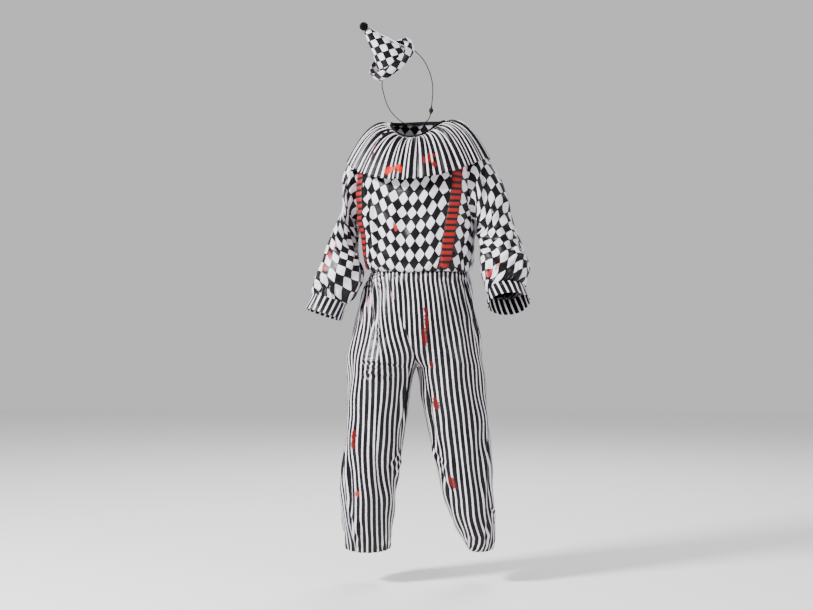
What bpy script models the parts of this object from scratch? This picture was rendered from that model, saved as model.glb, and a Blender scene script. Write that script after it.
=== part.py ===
# Harlequin costume in its worn form: a one-piece suit of thin satin with a ruffle collar, two braces
# and a small hat. Metres, +Z up. The front faces -Y, a little turned to -X, as the pose has it.
# The origin is the middle of the neck opening. Left and right are the wearer's own.
import math
from collections import namedtuple

import bmesh
import bpy
import numpy as np

for item in list(bpy.data.objects):
    bpy.data.objects.remove(item, do_unlink=True)

# Driving dimensions
CLOTH = 0.0015
GAP = 0.0003
TORSO_TURN = math.radians(16)
SECTION_POWER = 2.4
WAIST_Z = -0.482
CHEST_Z = -0.215
CROTCH_Z = -0.806
CROTCH_X = -0.006
HEM_Z = -1.418

NECK_HALF_WIDTH = 0.095
NECK_HALF_DEPTH = 0.085
NECK_FRONT_Z = -0.037
NECK_SIDE_Z = 0.022
NECK_BACK_Z = 0.030
SHOULDER_X = 0.190
SHOULDER_Z = -0.036

COLLAR_HALF_WIDTH = 0.244
COLLAR_HALF_DEPTH = 0.178
COLLAR_FRONT_Z = -0.182
COLLAR_SIDE_Z = -0.102
COLLAR_BACK_Z = -0.150
COLLAR_WAVES = 24
COLLAR_WAVE_DEPTH = 0.012

Torso = namedtuple("Torso", "z half_width half_depth x half_turn")
# Bodice sections from the waist seam up; x moves a section sideways, and half_turn is where the panel
# ends, in degrees from its centre.
TORSO = [
    Torso(-0.4820, 0.164, 0.118, 0.005, 90),
    Torso(-0.4795, 0.171, 0.126, 0.005, 90),
    Torso(-0.4720, 0.178, 0.134, 0.005, 90),
    Torso(-0.4560, 0.184, 0.142, 0.005, 90),
    Torso(-0.4260, 0.188, 0.147, 0.005, 90),
    Torso(-0.3650, 0.194, 0.147, 0.000, 90),
    Torso(-0.3100, 0.201, 0.143, -0.004, 90),
    Torso(-0.2960, 0.204, 0.142, -0.004, 80),
    Torso(-0.2720, 0.207, 0.140, -0.004, 71),
    Torso(-0.2440, 0.210, 0.138, -0.004, 66),
    Torso(-0.2150, 0.212, 0.136, -0.004, 64),
]

Ring = namedtuple("Ring", "outer_x outer_z inner_x inner_z y half_depth")
# Sleeve sections from the armhole to the cuff, by their outer and inner edge seen from the front.
SLEEVE_LEFT = [
    Ring(0.218, -0.080, 0.202, -0.305, -0.055, 0.088),
    Ring(0.240, -0.118, 0.205, -0.315, -0.054, 0.087),
    Ring(0.266, -0.155, 0.206, -0.327, -0.053, 0.086),
    Ring(0.286, -0.192, 0.206, -0.341, -0.053, 0.085),
    Ring(0.302, -0.240, 0.206, -0.359, -0.055, 0.085),
    Ring(0.319, -0.306, 0.206, -0.384, -0.060, 0.085),
    Ring(0.335, -0.360, 0.206, -0.410, -0.072, 0.085),
    Ring(0.350, -0.412, 0.207, -0.440, -0.092, 0.085),
    Ring(0.364, -0.452, 0.208, -0.468, -0.117, 0.083),
    Ring(0.3665, -0.480, 0.210, -0.498, -0.138, 0.079),
    Ring(0.362, -0.512, 0.214, -0.526, -0.160, 0.070),
    Ring(0.356, -0.533, 0.220, -0.545, -0.174, 0.058),
    Ring(0.350, -0.540, 0.229, -0.552, -0.181, 0.047),
]
SLEEVE_RIGHT = [
    Ring(-0.213, -0.086, -0.206, -0.305, 0.054, 0.088),
    Ring(-0.232, -0.123, -0.209, -0.315, 0.052, 0.085),
    Ring(-0.243, -0.155, -0.210, -0.327, 0.049, 0.082),
    Ring(-0.246, -0.195, -0.210, -0.341, 0.045, 0.080),
    Ring(-0.249, -0.240, -0.211, -0.359, 0.040, 0.078),
    Ring(-0.262, -0.290, -0.211, -0.382, 0.032, 0.078),
    Ring(-0.281, -0.337, -0.210, -0.408, 0.022, 0.079),
    Ring(-0.301, -0.386, -0.203, -0.436, 0.010, 0.080),
    Ring(-0.319, -0.434, -0.193, -0.462, -0.002, 0.080),
    Ring(-0.337, -0.478, -0.184, -0.494, -0.014, 0.077),
    Ring(-0.350, -0.515, -0.192, -0.528, -0.022, 0.072),
    Ring(-0.357, -0.541, -0.216, -0.566, -0.028, 0.063),
    Ring(-0.358, -0.556, -0.244, -0.594, -0.031, 0.054),
]
CUFF_LENGTH = 0.055
CUFF_FLARE = 1.08

Leg = namedtuple("Leg", "z outer_x inner_x half_depth y seam_turn")
# Trouser sections from the crotch down; seam_turn is how far the cloth is twisted round the leg, degrees.
LEG_LEFT = [
    Leg(-0.806, 0.223, -0.006, 0.136, 0.004, 0),
    Leg(-0.850, 0.229, 0.004, 0.130, 0.003, 0),
    Leg(-0.918, 0.2345, 0.013, 0.122, 0.002, 0),
    Leg(-1.000, 0.241, 0.029, 0.114, 0.000, 0),
    Leg(-1.091, 0.249, 0.050, 0.107, -0.003, 0),
    Leg(-1.176, 0.257, 0.068, 0.103, -0.004, -4),
    Leg(-1.265, 0.259, 0.091, 0.098, -0.004, -8),
    Leg(-1.345, 0.261, 0.126, 0.088, -0.004, -12),
    Leg(-1.390, 0.2605, 0.152, 0.076, -0.004, -14),
    Leg(-1.418, 0.257, 0.167, 0.068, -0.004, -15),
]
LEG_RIGHT = [
    Leg(-0.806, -0.241, -0.006, 0.136, 0.004, 0),
    Leg(-0.850, -0.241, -0.019, 0.130, 0.003, 0),
    Leg(-0.918, -0.2415, -0.029, 0.122, 0.002, 0),
    Leg(-1.000, -0.243, -0.040, 0.114, 0.000, 0),
    Leg(-1.091, -0.250, -0.053, 0.107, -0.003, 8),
    Leg(-1.176, -0.262, -0.066, 0.104, -0.004, 22),
    Leg(-1.265, -0.2615, -0.077, 0.100, -0.004, 38),
    Leg(-1.345, -0.257, -0.085, 0.093, -0.004, 50),
    Leg(-1.390, -0.249, -0.092, 0.084, -0.004, 56),
    Leg(-1.418, -0.243, -0.098, 0.078, -0.004, 58),
]
Hip = namedtuple("Hip", "z left_x right_x half_depth x turn seam_shift")
# Trouser sections above the crotch; x moves a section sideways, turn turns it whole, and seam_shift is
# the place of the centre seam.
HIPS = [
    Hip(-0.4832, 0.1640, -0.1640, 0.118, 0.005, 16.0, -0.078),
    Hip(-0.5000, 0.1710, -0.1710, 0.124, 0.005, 15.6, -0.076),
    Hip(-0.5300, 0.1800, -0.1840, 0.132, 0.005, 14.6, -0.070),
    Hip(-0.5850, 0.1890, -0.2020, 0.139, 0.004, 12.0, -0.056),
    Hip(-0.6500, 0.1980, -0.2190, 0.142, 0.002, 8.0, -0.038),
    Hip(-0.7100, 0.2090, -0.2300, 0.142, 0.001, 4.0, -0.022),
    Hip(-0.7600, 0.2170, -0.2370, 0.140, 0.000, 1.5, -0.012),
    Hip(-0.7880, 0.2200, -0.2395, 0.138, 0.000, 0.5, -0.008),
    Hip(-0.8060, 0.2230, -0.2410, 0.136, 0.000, 0.0, -0.006),
]
CROTCH_RISE = 0.105
WAIST_GATHERS = 36
TROUSER_GATHERS = 32
WAIST_GATHER_DEPTH = 0.005
HEM_GATHER_DEPTH = 0.005
HEM_DIP = 0.008

PANEL_COLUMNS = 36
SHOULDER_COLUMNS = 9
SHOULDER_ROWS = 4
LEG_COLUMNS = 16

BRACE_WIDTH = 0.042
BRACE_BARS = 17
BRACE_LIFT = 0.0010
BRACE_BASE = 0.0016
BRACE_PUFF = 0.0016
Track = namedtuple("Track", "z turn")
# The middle of each brace, in degrees round the bodice front from its centre.
BRACE_LEFT = [Track(-0.130, 50), Track(-0.280, 46), Track(-0.400, 42), Track(-0.474, 38)]
BRACE_RIGHT = [Track(-0.130, -52), Track(-0.280, -55), Track(-0.400, -60), Track(-0.474, -62)]

HAT_BASE = np.array([-0.090, -0.030, 0.240])
HAT_TOP = np.array([-0.1717, -0.083, 0.3264])
HAT_BASE_RADIUS = 0.060
HAT_TOP_RADIUS = 0.014
HAT_SIDES = 20
POMPOM_RADIUS = 0.0155
ELASTIC_RADIUS = 0.0012

WHITE = (0.79, 0.75, 0.81, 1.0)
BLACK = (0.012, 0.010, 0.014, 1.0)
RED = (0.58, 0.02, 0.018, 1.0)


def material(name, colour, roughness):
    """A cloth with its colour and how dull it is."""
    cloth = bpy.data.materials.new(name)
    cloth.use_nodes = True
    shader = cloth.node_tree.nodes["Principled BSDF"]
    shader.inputs["Base Color"].default_value = colour
    shader.inputs["Roughness"].default_value = roughness
    shader.inputs["Metallic"].default_value = 0.0
    return cloth


def unit(vectors):
    """Vectors brought to length one."""
    vectors = np.asarray(vectors, float)
    return vectors / np.maximum(np.linalg.norm(vectors, axis=-1, keepdims=True), 1e-12)


def smooth(low, high, value):
    """0 below low, 1 above high, an even S between them."""
    t = min(max((value - low) / (high - low), 0.0), 1.0)
    return t * t * (3 - 2 * t)


def along(rows, key, value, field):
    """A column of a table at a place between its rows, on a smooth curve through them."""
    keys = [getattr(row, key) for row in rows]
    values = [getattr(row, field) for row in rows]
    if keys[0] > keys[-1]:
        keys.reverse()
        values.reverse()
    value = min(max(value, keys[0]), keys[-1])
    i = min(max(int(np.searchsorted(keys, value)) - 1, 0), len(keys) - 2)
    span = keys[i + 1] - keys[i]
    t = (value - keys[i]) / span
    slopes = []
    for k in (i, i + 1):
        low, high = max(k - 1, 0), min(k + 1, len(keys) - 1)
        slopes.append((values[high] - values[low]) / (keys[high] - keys[low]) * span)
    a, b = values[i], values[i + 1]
    return (a * (2 * t**3 - 3 * t**2 + 1) + slopes[0] * (t**3 - 2 * t**2 + t)
            + b * (3 * t**2 - 2 * t**3) + slopes[1] * (t**3 - t**2))


def turned(point, angle):
    """A point turned about the upright axis, its front towards -X."""
    x, y, z = point
    cos, sin = math.cos(angle), math.sin(angle)
    return np.array([x * cos + y * sin, y * cos - x * sin, z])


def normal_at(surface, s, t, step=1e-4):
    """The unit normal of a surface, from its two slopes."""
    across = surface(s + step, t) - surface(s - step, t)
    down = surface(s, t + step) - surface(s, t - step)
    return unit(np.cross(across, down))


def closed_mesh(name, points, faces, cloth):
    """An object from points and faces, turned inside out if its volume comes out negative."""
    points = np.asarray(points, float)
    volume = 0.0
    for face in faces:
        for k in range(1, len(face) - 1):
            a, b, c = points[face[0]], points[face[k]], points[face[k + 1]]
            volume += np.dot(a, np.cross(b, c))
    if volume < 0:
        faces = [tuple(reversed(face)) for face in faces]
    mesh = bpy.data.meshes.new(name)
    mesh.from_pydata([tuple(p) for p in points], [], faces)
    mesh.materials.append(cloth)
    mesh.shade_smooth()
    mesh.set_sharp_from_angle(angle=math.radians(50))
    result = bpy.data.objects.new(name, mesh)
    bpy.context.scene.collection.objects.link(result)
    return result


def ring_faces(rows, columns, last):
    """The faces of an outer grid and, turned round, of the inner grid that follows it."""
    shift = rows * columns
    faces = []
    for i in range(rows - 1):
        for j in range(last):
            k = (j + 1) % columns
            a, b = i * columns + j, i * columns + k
            c, d = b + columns, a + columns
            faces.append((a, b, c, d))
            faces.append((a + shift, d + shift, c + shift, b + shift))
    return faces


def wall(name, outer, inner, ring, cloth):
    """Cloth between an outer and an inner grid of points, closed along its edges."""
    rows, columns = outer.shape[:2]
    points = np.concatenate([outer.reshape(-1, 3), inner.reshape(-1, 3)])
    shift = rows * columns
    last = columns if ring else columns - 1
    faces = ring_faces(rows, columns, last)
    for j in range(last):
        k = (j + 1) % columns
        faces.append((j, j + shift, k + shift, k))
        a, b = (rows - 1) * columns + j, (rows - 1) * columns + k
        faces.append((a, b, b + shift, a + shift))
    if not ring:
        for i in range(rows - 1):
            a, b = i * columns, (i + 1) * columns
            faces.append((a, b, b + shift, a + shift))
            a, b = a + columns - 1, b + columns - 1
            faces.append((a, a + shift, b + shift, b))
    return closed_mesh(name, points, faces, cloth)


def oval(angle, half_width, half_depth):
    """A point of the bodice's section, angle 0 at the front and 90 degrees at its left."""
    s, c = math.sin(angle), math.cos(angle)
    power = 2 / SECTION_POWER
    return (half_width * math.copysign(abs(s) ** power, s), -half_depth * math.copysign(abs(c) ** power, c))


def neck_point(angle, out=0.0):
    """A point of the neck seam, angle 0 at the front, moved out from it by a distance."""
    s, c = math.sin(angle), math.cos(angle)
    end_z = NECK_FRONT_Z if c > 0 else NECK_BACK_Z
    z = NECK_SIDE_Z + (end_z - NECK_SIDE_Z) * c * c
    return np.array([(NECK_HALF_WIDTH + out) * s, -(NECK_HALF_DEPTH + out) * c, z])


# Bodice front and back. Each panel runs across from side to side and up from the waist to the shoulders.
TORSO_ROWS = len(TORSO) - 1
NECK_SHARE = 1 - 2 * SHOULDER_COLUMNS / PANEL_COLUMNS
NECK_CLEAR = 0.0012


def top_edge(u, side):
    """The upper edge of a panel: shoulder seams outside, the neck curve in the middle."""
    if abs(u) >= NECK_SHARE:
        t = (abs(u) - NECK_SHARE) / (1 - NECK_SHARE)
        start = neck_point(math.pi / 2, NECK_CLEAR)
        x = start[0] + (SHOULDER_X - start[0]) * t
        z = start[2] + (SHOULDER_Z - start[2]) * t
        return np.array([math.copysign(x, u), 0.0, z])
    angle = u / NECK_SHARE * math.pi / 2
    if side < 0:
        return neck_point(angle, NECK_CLEAR)
    return neck_point(math.pi - angle, NECK_CLEAR)


def waist_gather(count, angle, z, low, high, depth):
    """How far cloth is drawn in between the crests of the waist gathers."""
    ease = smooth(0.0, low, abs(z - WAIST_Z)) * (1 - smooth(low, high, abs(z - WAIST_Z)))
    return depth * ease * 0.5 * (1 - math.cos(count * angle))


def torso_point(u, t, side, gathered=True):
    """A point of the bodice before it is turned; t counts sections, then the shoulder part."""
    if t <= TORSO_ROWS:
        t = max(t, 0.0)
        i = min(int(t), TORSO_ROWS - 1)
        z = TORSO[i].z + (TORSO[i + 1].z - TORSO[i].z) * (t - i)
        half_turn = math.radians(along(TORSO, "z", z, "half_turn"))
        angle = u * half_turn
        width = along(TORSO, "z", z, "half_width")
        depth = along(TORSO, "z", z, "half_depth")
        drawn = 0.0
        if gathered:
            drawn = waist_gather(WAIST_GATHERS, angle, z, 0.020, 0.090, WAIST_GATHER_DEPTH)
        x, y = oval(angle, width - drawn, depth - drawn)
        shift = along(TORSO, "z", z, "x")
        return np.array([x + shift * math.cos(TORSO_TURN), -y * side + shift * math.sin(TORSO_TURN), z])
    share = min((t - TORSO_ROWS) / SHOULDER_ROWS, 1.0)
    chest = torso_point(u, TORSO_ROWS, side)
    top = top_edge(u, side)
    bend = np.array([chest[0], chest[1] * 0.97, top[2] - 0.020 - 0.035 * (1 - abs(u))])
    return chest * (1 - share) ** 2 + bend * 2 * share * (1 - share) + top * share**2


def torso_normal(u, t, side):
    """The outward normal of the bodice, lying in the seam's plane along side and shoulder seams."""
    limit = TORSO_ROWS + SHOULDER_ROWS
    t = min(max(t, 1e-3), limit - 1e-3)
    n = normal_at(lambda a, b: torso_point(a, b, side), u, t) * (-1 if side > 0 else 1)
    at_shoulder = t > limit - 0.01 and abs(u) >= NECK_SHARE - 1e-6
    at_side = abs(u) > 0.999 and t <= TORSO_ROWS - 4 + 1e-6
    if at_shoulder or at_side:
        n = unit(n * np.array([1.0, 0.0, 1.0]))
    return n


def torso_panel(side):
    """Outer and inner grids of a panel, side -1 for the front and +1 for the back."""
    columns = np.linspace(-1, 1, PANEL_COLUMNS + 1)
    rows = np.arange(TORSO_ROWS + SHOULDER_ROWS + 1)
    outer = np.zeros((len(rows), len(columns), 3))
    inner = np.zeros_like(outer)
    for i, t in enumerate(rows):
        for j, u in enumerate(columns):
            point = torso_point(u, t, side)
            n = torso_normal(u, t, side)
            if i == len(rows) - 1 and abs(u) >= NECK_SHARE - 1e-6:
                point[1] += side * GAP / 2
            if abs(u) > 0.999 and t <= TORSO_ROWS - 4:
                point[1] += side * GAP / 2
            outer[i, j] = point + n * CLOTH / 2
            inner[i, j] = point - n * CLOTH / 2
    return outer, inner


def with_torso(grid):
    """A grid of points turned with the torso."""
    return np.array([turned(p, TORSO_TURN) for p in grid.reshape(-1, 3)]).reshape(grid.shape)


satin_check = material("satin_check", WHITE, 0.42)
panels = {}
for side, label in ((-1, "bodice_front"), (1, "bodice_back")):
    grids = [with_torso(grid) for grid in torso_panel(side)]
    panels[side] = grids
    wall(label, grids[0], grids[1], False, satin_check)


# Sleeves. The first ring is the armhole, read from the panels' own edges, and the rest are ovals.
ARMHOLE_ROWS = range(TORSO_ROWS - 4, TORSO_ROWS + SHOULDER_ROWS + 1)
SLEEVE_SIDES = 2 * (len(ARMHOLE_ROWS) - 1)


def armhole(hand, layer):
    """The armhole's points, from the shoulder down the front edge and up the back edge."""
    column = -1 if hand > 0 else 0
    front = [panels[-1][layer][i, column] for i in reversed(ARMHOLE_ROWS)]
    back = [panels[1][layer][i, column] for i in ARMHOLE_ROWS]
    shoulder = (front[0] + back[-1]) / 2
    underarm = (front[-1] + back[0]) / 2
    return np.array([shoulder] + front[1:-1] + [underarm] + back[1:-1])


def sleeve_ring(rows, i, centres):
    """One oval of a sleeve, its first point at the outer edge and the next ones towards the front."""
    row = rows[i]
    low, high = max(i - 1, 0), min(i + 1, len(rows) - 1)
    middle = unit(centres[high] - centres[low])
    half_x = (row.outer_x - row.inner_x) / 2
    turn = TORSO_TURN * (1 - smooth(4, 10, i))
    major = np.array([half_x, -half_x * math.tan(turn), (row.outer_z - row.inner_z) / 2])
    minor = np.cross(major, middle)
    minor[2] = minor[2] if i > 4 else 0.0
    minor[0] = minor[0] * smooth(4, 10, i) + minor[1] * math.tan(turn)
    minor = unit(minor) * row.half_depth
    if minor[1] > 0:
        minor = -minor
    points = []
    for k in range(SLEEVE_SIDES):
        angle = 2 * math.pi * k / SLEEVE_SIDES
        points.append(centres[i] + major * math.cos(angle) + minor * math.sin(angle))
    return np.array(points)


def ring_normals(rings):
    """Outward normals of a tube given as rings, from its neighbouring points."""
    ahead = np.roll(rings, -1, axis=1) - np.roll(rings, 1, axis=1)
    down = np.gradient(rings, axis=0)
    normals = unit(np.cross(ahead, down))
    centre = rings.mean(axis=1, keepdims=True)
    if np.mean(np.sum(normals * (rings - centre), axis=2)) < 0:
        normals = -normals
    return normals


def sleeve(hand, rows):
    """Outer and inner grids of a sleeve; hand +1 is the wearer's left."""
    centres = [np.array([(r.outer_x + r.inner_x) / 2, r.y, (r.outer_z + r.inner_z) / 2]) for r in rows]
    rings = np.array([sleeve_ring(rows, i, centres) for i in range(len(rows))])
    edge_out, edge_in = armhole(hand, 0), armhole(hand, 1)
    edge = (edge_out + edge_in) / 2
    rings[0] = 0.45 * rings[0] + 0.55 * (edge + (centres[0] - edge.mean(axis=0)))
    rings[1] = 0.85 * rings[1] + 0.15 * (edge + (centres[1] - edge.mean(axis=0)))
    rings = np.concatenate([[edge], rings])
    normals = ring_normals(rings)
    round_edge = np.roll(edge, -1, axis=0) - np.roll(edge, 1, axis=0)
    away = unit(np.cross(round_edge, edge_out - edge_in))
    outward = unit(centres[0] - edge.mean(axis=0)) + np.array([0.0, 0.0, 0.5])
    away *= np.sign(away @ outward)[:, None]
    reach = np.abs(np.sum(normals[0] * away, axis=1, keepdims=True)) * CLOTH / 2 + GAP * 1.5
    rings[0] = edge + away * reach
    return rings + normals * CLOTH / 2, rings - normals * CLOTH / 2


def cuff(rows, sleeve_end):
    """Outer and inner grids of a cuff, a band that flares a little from the sleeve's end."""
    centres = [np.array([(r.outer_x + r.inner_x) / 2, r.y, (r.outer_z + r.inner_z) / 2]) for r in rows]
    last = sleeve_ring(rows, len(rows) - 1, centres)
    centre = last.mean(axis=0)
    axis = unit(np.cross(last[0] - centre, last[SLEEVE_SIDES // 4] - centre))
    if axis[2] > 0:
        axis = -axis
    start = float(np.max((sleeve_end - centre) @ axis)) + GAP
    rings = []
    for share in (0.0, 0.5, 1.0):
        grow = 1 + (CUFF_FLARE - 1) * share
        rings.append(centre + (last - centre) * grow + axis * (start + CUFF_LENGTH * share))
    rings = np.array(rings)
    out = unit(last - centre)
    return rings + out * CLOTH / 2, rings - out * CLOTH / 2


satin_stripe = material("satin_stripe", WHITE, 0.42)
for hand, label, rows in ((1, "left", SLEEVE_LEFT), (-1, "right", SLEEVE_RIGHT)):
    outer, inner = sleeve(hand, rows)
    wall("sleeve_" + label, outer, inner, True, satin_check)
    outer, inner = cuff(rows, np.concatenate([outer[-1], inner[-1]]))
    wall("cuff_" + label, outer, inner, True, satin_stripe)


# Ruffle collar: one gathered strip from the neck seam out over the shoulders.
COLLAR_COLUMNS = COLLAR_WAVES * 4
COLLAR_SHARES = (0.0, 0.20, 0.48, 0.76, 1.0)
COLLAR_LIFT = 0.0025


def collar_base(angle, share):
    """A point of the collar without its waves; share 0 at the neck and 1 at the free edge."""
    s, c = math.sin(angle), math.cos(angle)
    start = neck_point(angle, NECK_CLEAR)
    start[2] += COLLAR_LIFT
    low_z = COLLAR_FRONT_Z if c > 0 else COLLAR_BACK_Z
    end_z = COLLAR_SIDE_Z + (low_z - COLLAR_SIDE_Z) * abs(c) ** 1.6
    end = np.array([COLLAR_HALF_WIDTH * s, -COLLAR_HALF_DEPTH * c, end_z])
    point = start + (end - start) * share
    point[2] = start[2] + (end_z - start[2]) * share**1.8 + 0.020 * math.sin(math.pi * share)
    return point


def collar_point(angle, share):
    """A point of the collar with its waves, which only stand up from the base."""
    n = normal_at(collar_base, angle, min(max(share, 0.01), 0.99), 1e-3)
    if n[2] < 0:
        n = -n
    wave = 0.5 * (1 - math.cos(COLLAR_WAVES * angle))
    depth = COLLAR_WAVE_DEPTH * (0.25 + 0.75 * share) * smooth(0.0, 0.18, share)
    return collar_base(angle, share) + n * depth * wave


outer = np.zeros((len(COLLAR_SHARES), COLLAR_COLUMNS, 3))
inner = np.zeros_like(outer)
for i, share in enumerate(COLLAR_SHARES):
    for j in range(COLLAR_COLUMNS):
        angle = 2 * math.pi * j / COLLAR_COLUMNS
        point = collar_point(angle, share)
        n = normal_at(collar_point, angle, min(max(share, 0.002), 0.998), 1e-3)
        n = n if n[2] > 0 else -n
        outer[i, j] = point + n * CLOTH / 2
        inner[i, j] = point - n * CLOTH / 2
wall("collar_ruffle", with_torso(outer), with_torso(inner), True, satin_stripe)

# Neck binding: a narrow band standing inside the neck edges of bodice and collar.
BINDING_COLUMNS = 36
BINDING_HEIGHT = 0.009
BINDING_THICK = 0.0014
outer = np.zeros((2, BINDING_COLUMNS, 3))
inner = np.zeros_like(outer)
for i, lift in enumerate((-0.5, 0.5)):
    for j in range(BINDING_COLUMNS):
        angle = 2 * math.pi * j / BINDING_COLUMNS
        up = np.array([0, 0, BINDING_HEIGHT * lift + COLLAR_LIFT / 2])
        outer[i, j] = neck_point(angle, 0.0) + up
        inner[i, j] = neck_point(angle, -BINDING_THICK) + up
wall("neck_binding", with_torso(outer), with_torso(inner), True, material("binding_black", BLACK, 0.55))


# Braces: padded straps that lie on the bodice front, with puffed red bars across them.
BRACE_ACROSS = (-1.0, 0.0, 1.0)
ROWS_PER_BAR = 2
CHEST_RISE = 0.14


def panel_t(z):
    """The section count at a height on the bodice front; CHEST_RISE spans half the shoulder part."""
    for i in range(TORSO_ROWS):
        if TORSO[i].z <= z <= TORSO[i + 1].z:
            return i + (z - TORSO[i].z) / (TORSO[i + 1].z - TORSO[i].z)
    return TORSO_ROWS + SHOULDER_ROWS * 0.5 * (z - CHEST_Z) / CHEST_RISE


def brace(track):
    """Outer and inner grids of a brace that follows its track down the front."""
    def front(a, b):
        return torso_point(a, b, -1, False)

    count = BRACE_BARS * ROWS_PER_BAR
    heights = np.linspace(track[-1].z, track[0].z, count + 1)
    outer = np.zeros((count + 1, len(BRACE_ACROSS), 3))
    inner = np.zeros_like(outer)
    for i, z in enumerate(heights):
        t = panel_t(z)
        u = along(track, "z", z, "turn") / along(TORSO, "z", z, "half_turn")
        stretch = np.linalg.norm(front(u + 1e-3, t) - front(u, t)) / 1e-3
        puff = BRACE_PUFF if i % ROWS_PER_BAR else 0.0
        for j, place in enumerate(BRACE_ACROSS):
            across = u + BRACE_WIDTH / 2 * place / stretch
            n = normal_at(front, across, t)
            under = front(across, t) + n * (CLOTH / 2 + BRACE_LIFT)
            edge = 0.0 if abs(place) > 0.9 else puff
            inner[i, j] = under
            outer[i, j] = under + n * (BRACE_BASE + edge)
    return outer, inner


brace_cloth = material("brace_red_bars", RED, 0.5)
for label, track in (("left", BRACE_LEFT), ("right", BRACE_RIGHT)):
    outer, inner = brace(track)
    wall("brace_" + label, with_torso(outer), with_torso(inner), False, brace_cloth)


# Trousers: a front and a back panel for each leg, meeting at centre seams, outseams and inseams.
HIP_ROWS = (-0.4832, -0.500, -0.530, -0.600, -0.680, -0.735, -0.772, -0.794, -0.806)
LEG_ROWS = (-0.822, -0.860, -0.930, -1.020, -1.120, -1.230, -1.320, -1.385, -1.418)


def crotch_dip(z):
    """How far the centre seam has left the crotch on its way up, 0 to 1."""
    return min(max((z - CROTCH_Z) / CROTCH_RISE, 0.0), 1.0)


def hip_oval(z, hand):
    """Middle, half width and seam place of a thigh above the crotch, before its section is turned."""
    left, right = along(HIPS, "z", z, "left_x"), along(HIPS, "z", z, "right_x")
    seam = along(HIPS, "z", z, "seam_shift")
    share = crotch_dip(z) ** 1.3
    out, far = (left, right) if hand > 0 else (right, left)
    inner_edge = seam + (far - seam) * share
    return (out + inner_edge) / 2, abs(out - inner_edge) / 2, seam


def trouser_point(s, z, hand, side):
    """A point of a trouser panel; s 0 at the outseam and 1 at the centre seam or inseam."""
    if z >= CROTCH_Z:
        middle, half, seam = hip_oval(z, hand)
        depth = along(HIPS, "z", z, "half_depth")
        end = math.acos(min(max((seam - middle) * hand / half, -1.0), 1.0))
        angle = s * end
        x = middle + hand * half * math.cos(angle)
        y = depth * math.sin(angle)
        here = math.sin(end)
        other_middle, other_half, _ = hip_oval(z, -hand)
        there = math.sin(math.acos(min(max((seam - other_middle) * -hand / other_half, -1.0), 1.0)))
        if here > 1e-6:
            y *= ((here + there) / 2 / here) ** (s * s)
        y = y * side + 0.004 * smooth(WAIST_Z, CROTCH_Z, z)
        gather = waist_gather(TROUSER_GATHERS, s * math.pi / 2, z, 0.022, 0.150, WAIST_GATHER_DEPTH)
        point = np.array([x - hand * gather * math.cos(angle), y - side * gather * math.sin(angle), z])
        point = turned(point, math.radians(along(HIPS, "z", z, "turn")))
        return point + np.array([along(HIPS, "z", z, "x"), 0.0, 0.0])
    rows = LEG_LEFT if hand > 0 else LEG_RIGHT
    out, inner_edge = along(rows, "z", z, "outer_x"), along(rows, "z", z, "inner_x")
    middle, half = (out + inner_edge) / 2, abs(out - inner_edge) / 2
    depth, shift = along(rows, "z", z, "half_depth"), along(rows, "z", z, "y")
    seam_turn = math.radians(along(rows, "z", z, "seam_turn")) * (-side)
    angle = s * math.pi + seam_turn
    ease = smooth(0.0, 1.0, (-1.30 - z) / 0.09) * (1 - 0.7 * smooth(0.0, 1.0, (-1.39 - z) / 0.028))
    gather = HEM_GATHER_DEPTH * ease * 0.5 * (1 - math.cos(math.pi * s * LEG_COLUMNS))
    x = middle + hand * (half - gather) * math.cos(angle)
    y = shift + side * (depth - gather) * math.sin(angle)
    dip = HEM_DIP * ease * max(-side * math.sin(angle), 0.0)
    return np.array([x, y, z - dip])


def trouser_normal(s, z, hand, side):
    """The outward normal of a trouser panel."""
    step = 1e-3
    z = min(z, HIPS[0].z - step * 1.5)
    if z > CROTCH_Z:
        z = max(z, CROTCH_Z + step * 1.5)
    else:
        z = max(min(z, CROTCH_Z - step * 1.5), HEM_Z + step * 1.5)
    inward = min(max(s, 0.001), 0.999)
    across = trouser_point(inward + step, z, hand, side) - trouser_point(inward - step, z, hand, side)
    down = trouser_point(inward, z - step, hand, side) - trouser_point(inward, z + step, hand, side)
    n = unit(np.cross(across, down))
    sign = -1 if hand * side > 0 else 1
    return n * sign


def centre_seam_normal(z, hand, side):
    """The outward normal along a centre seam, square to the seam in its own plane."""
    high, low = min(z + 0.004, HIPS[0].z), max(z - 0.004, CROTCH_Z)
    run = trouser_point(1.0, low, hand, side) - trouser_point(1.0, high, hand, side)
    n = unit(np.cross(np.array([1.0, 0.0, 0.0]), run))
    return n if n[1] * side - n[2] > 0 else -n


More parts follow.
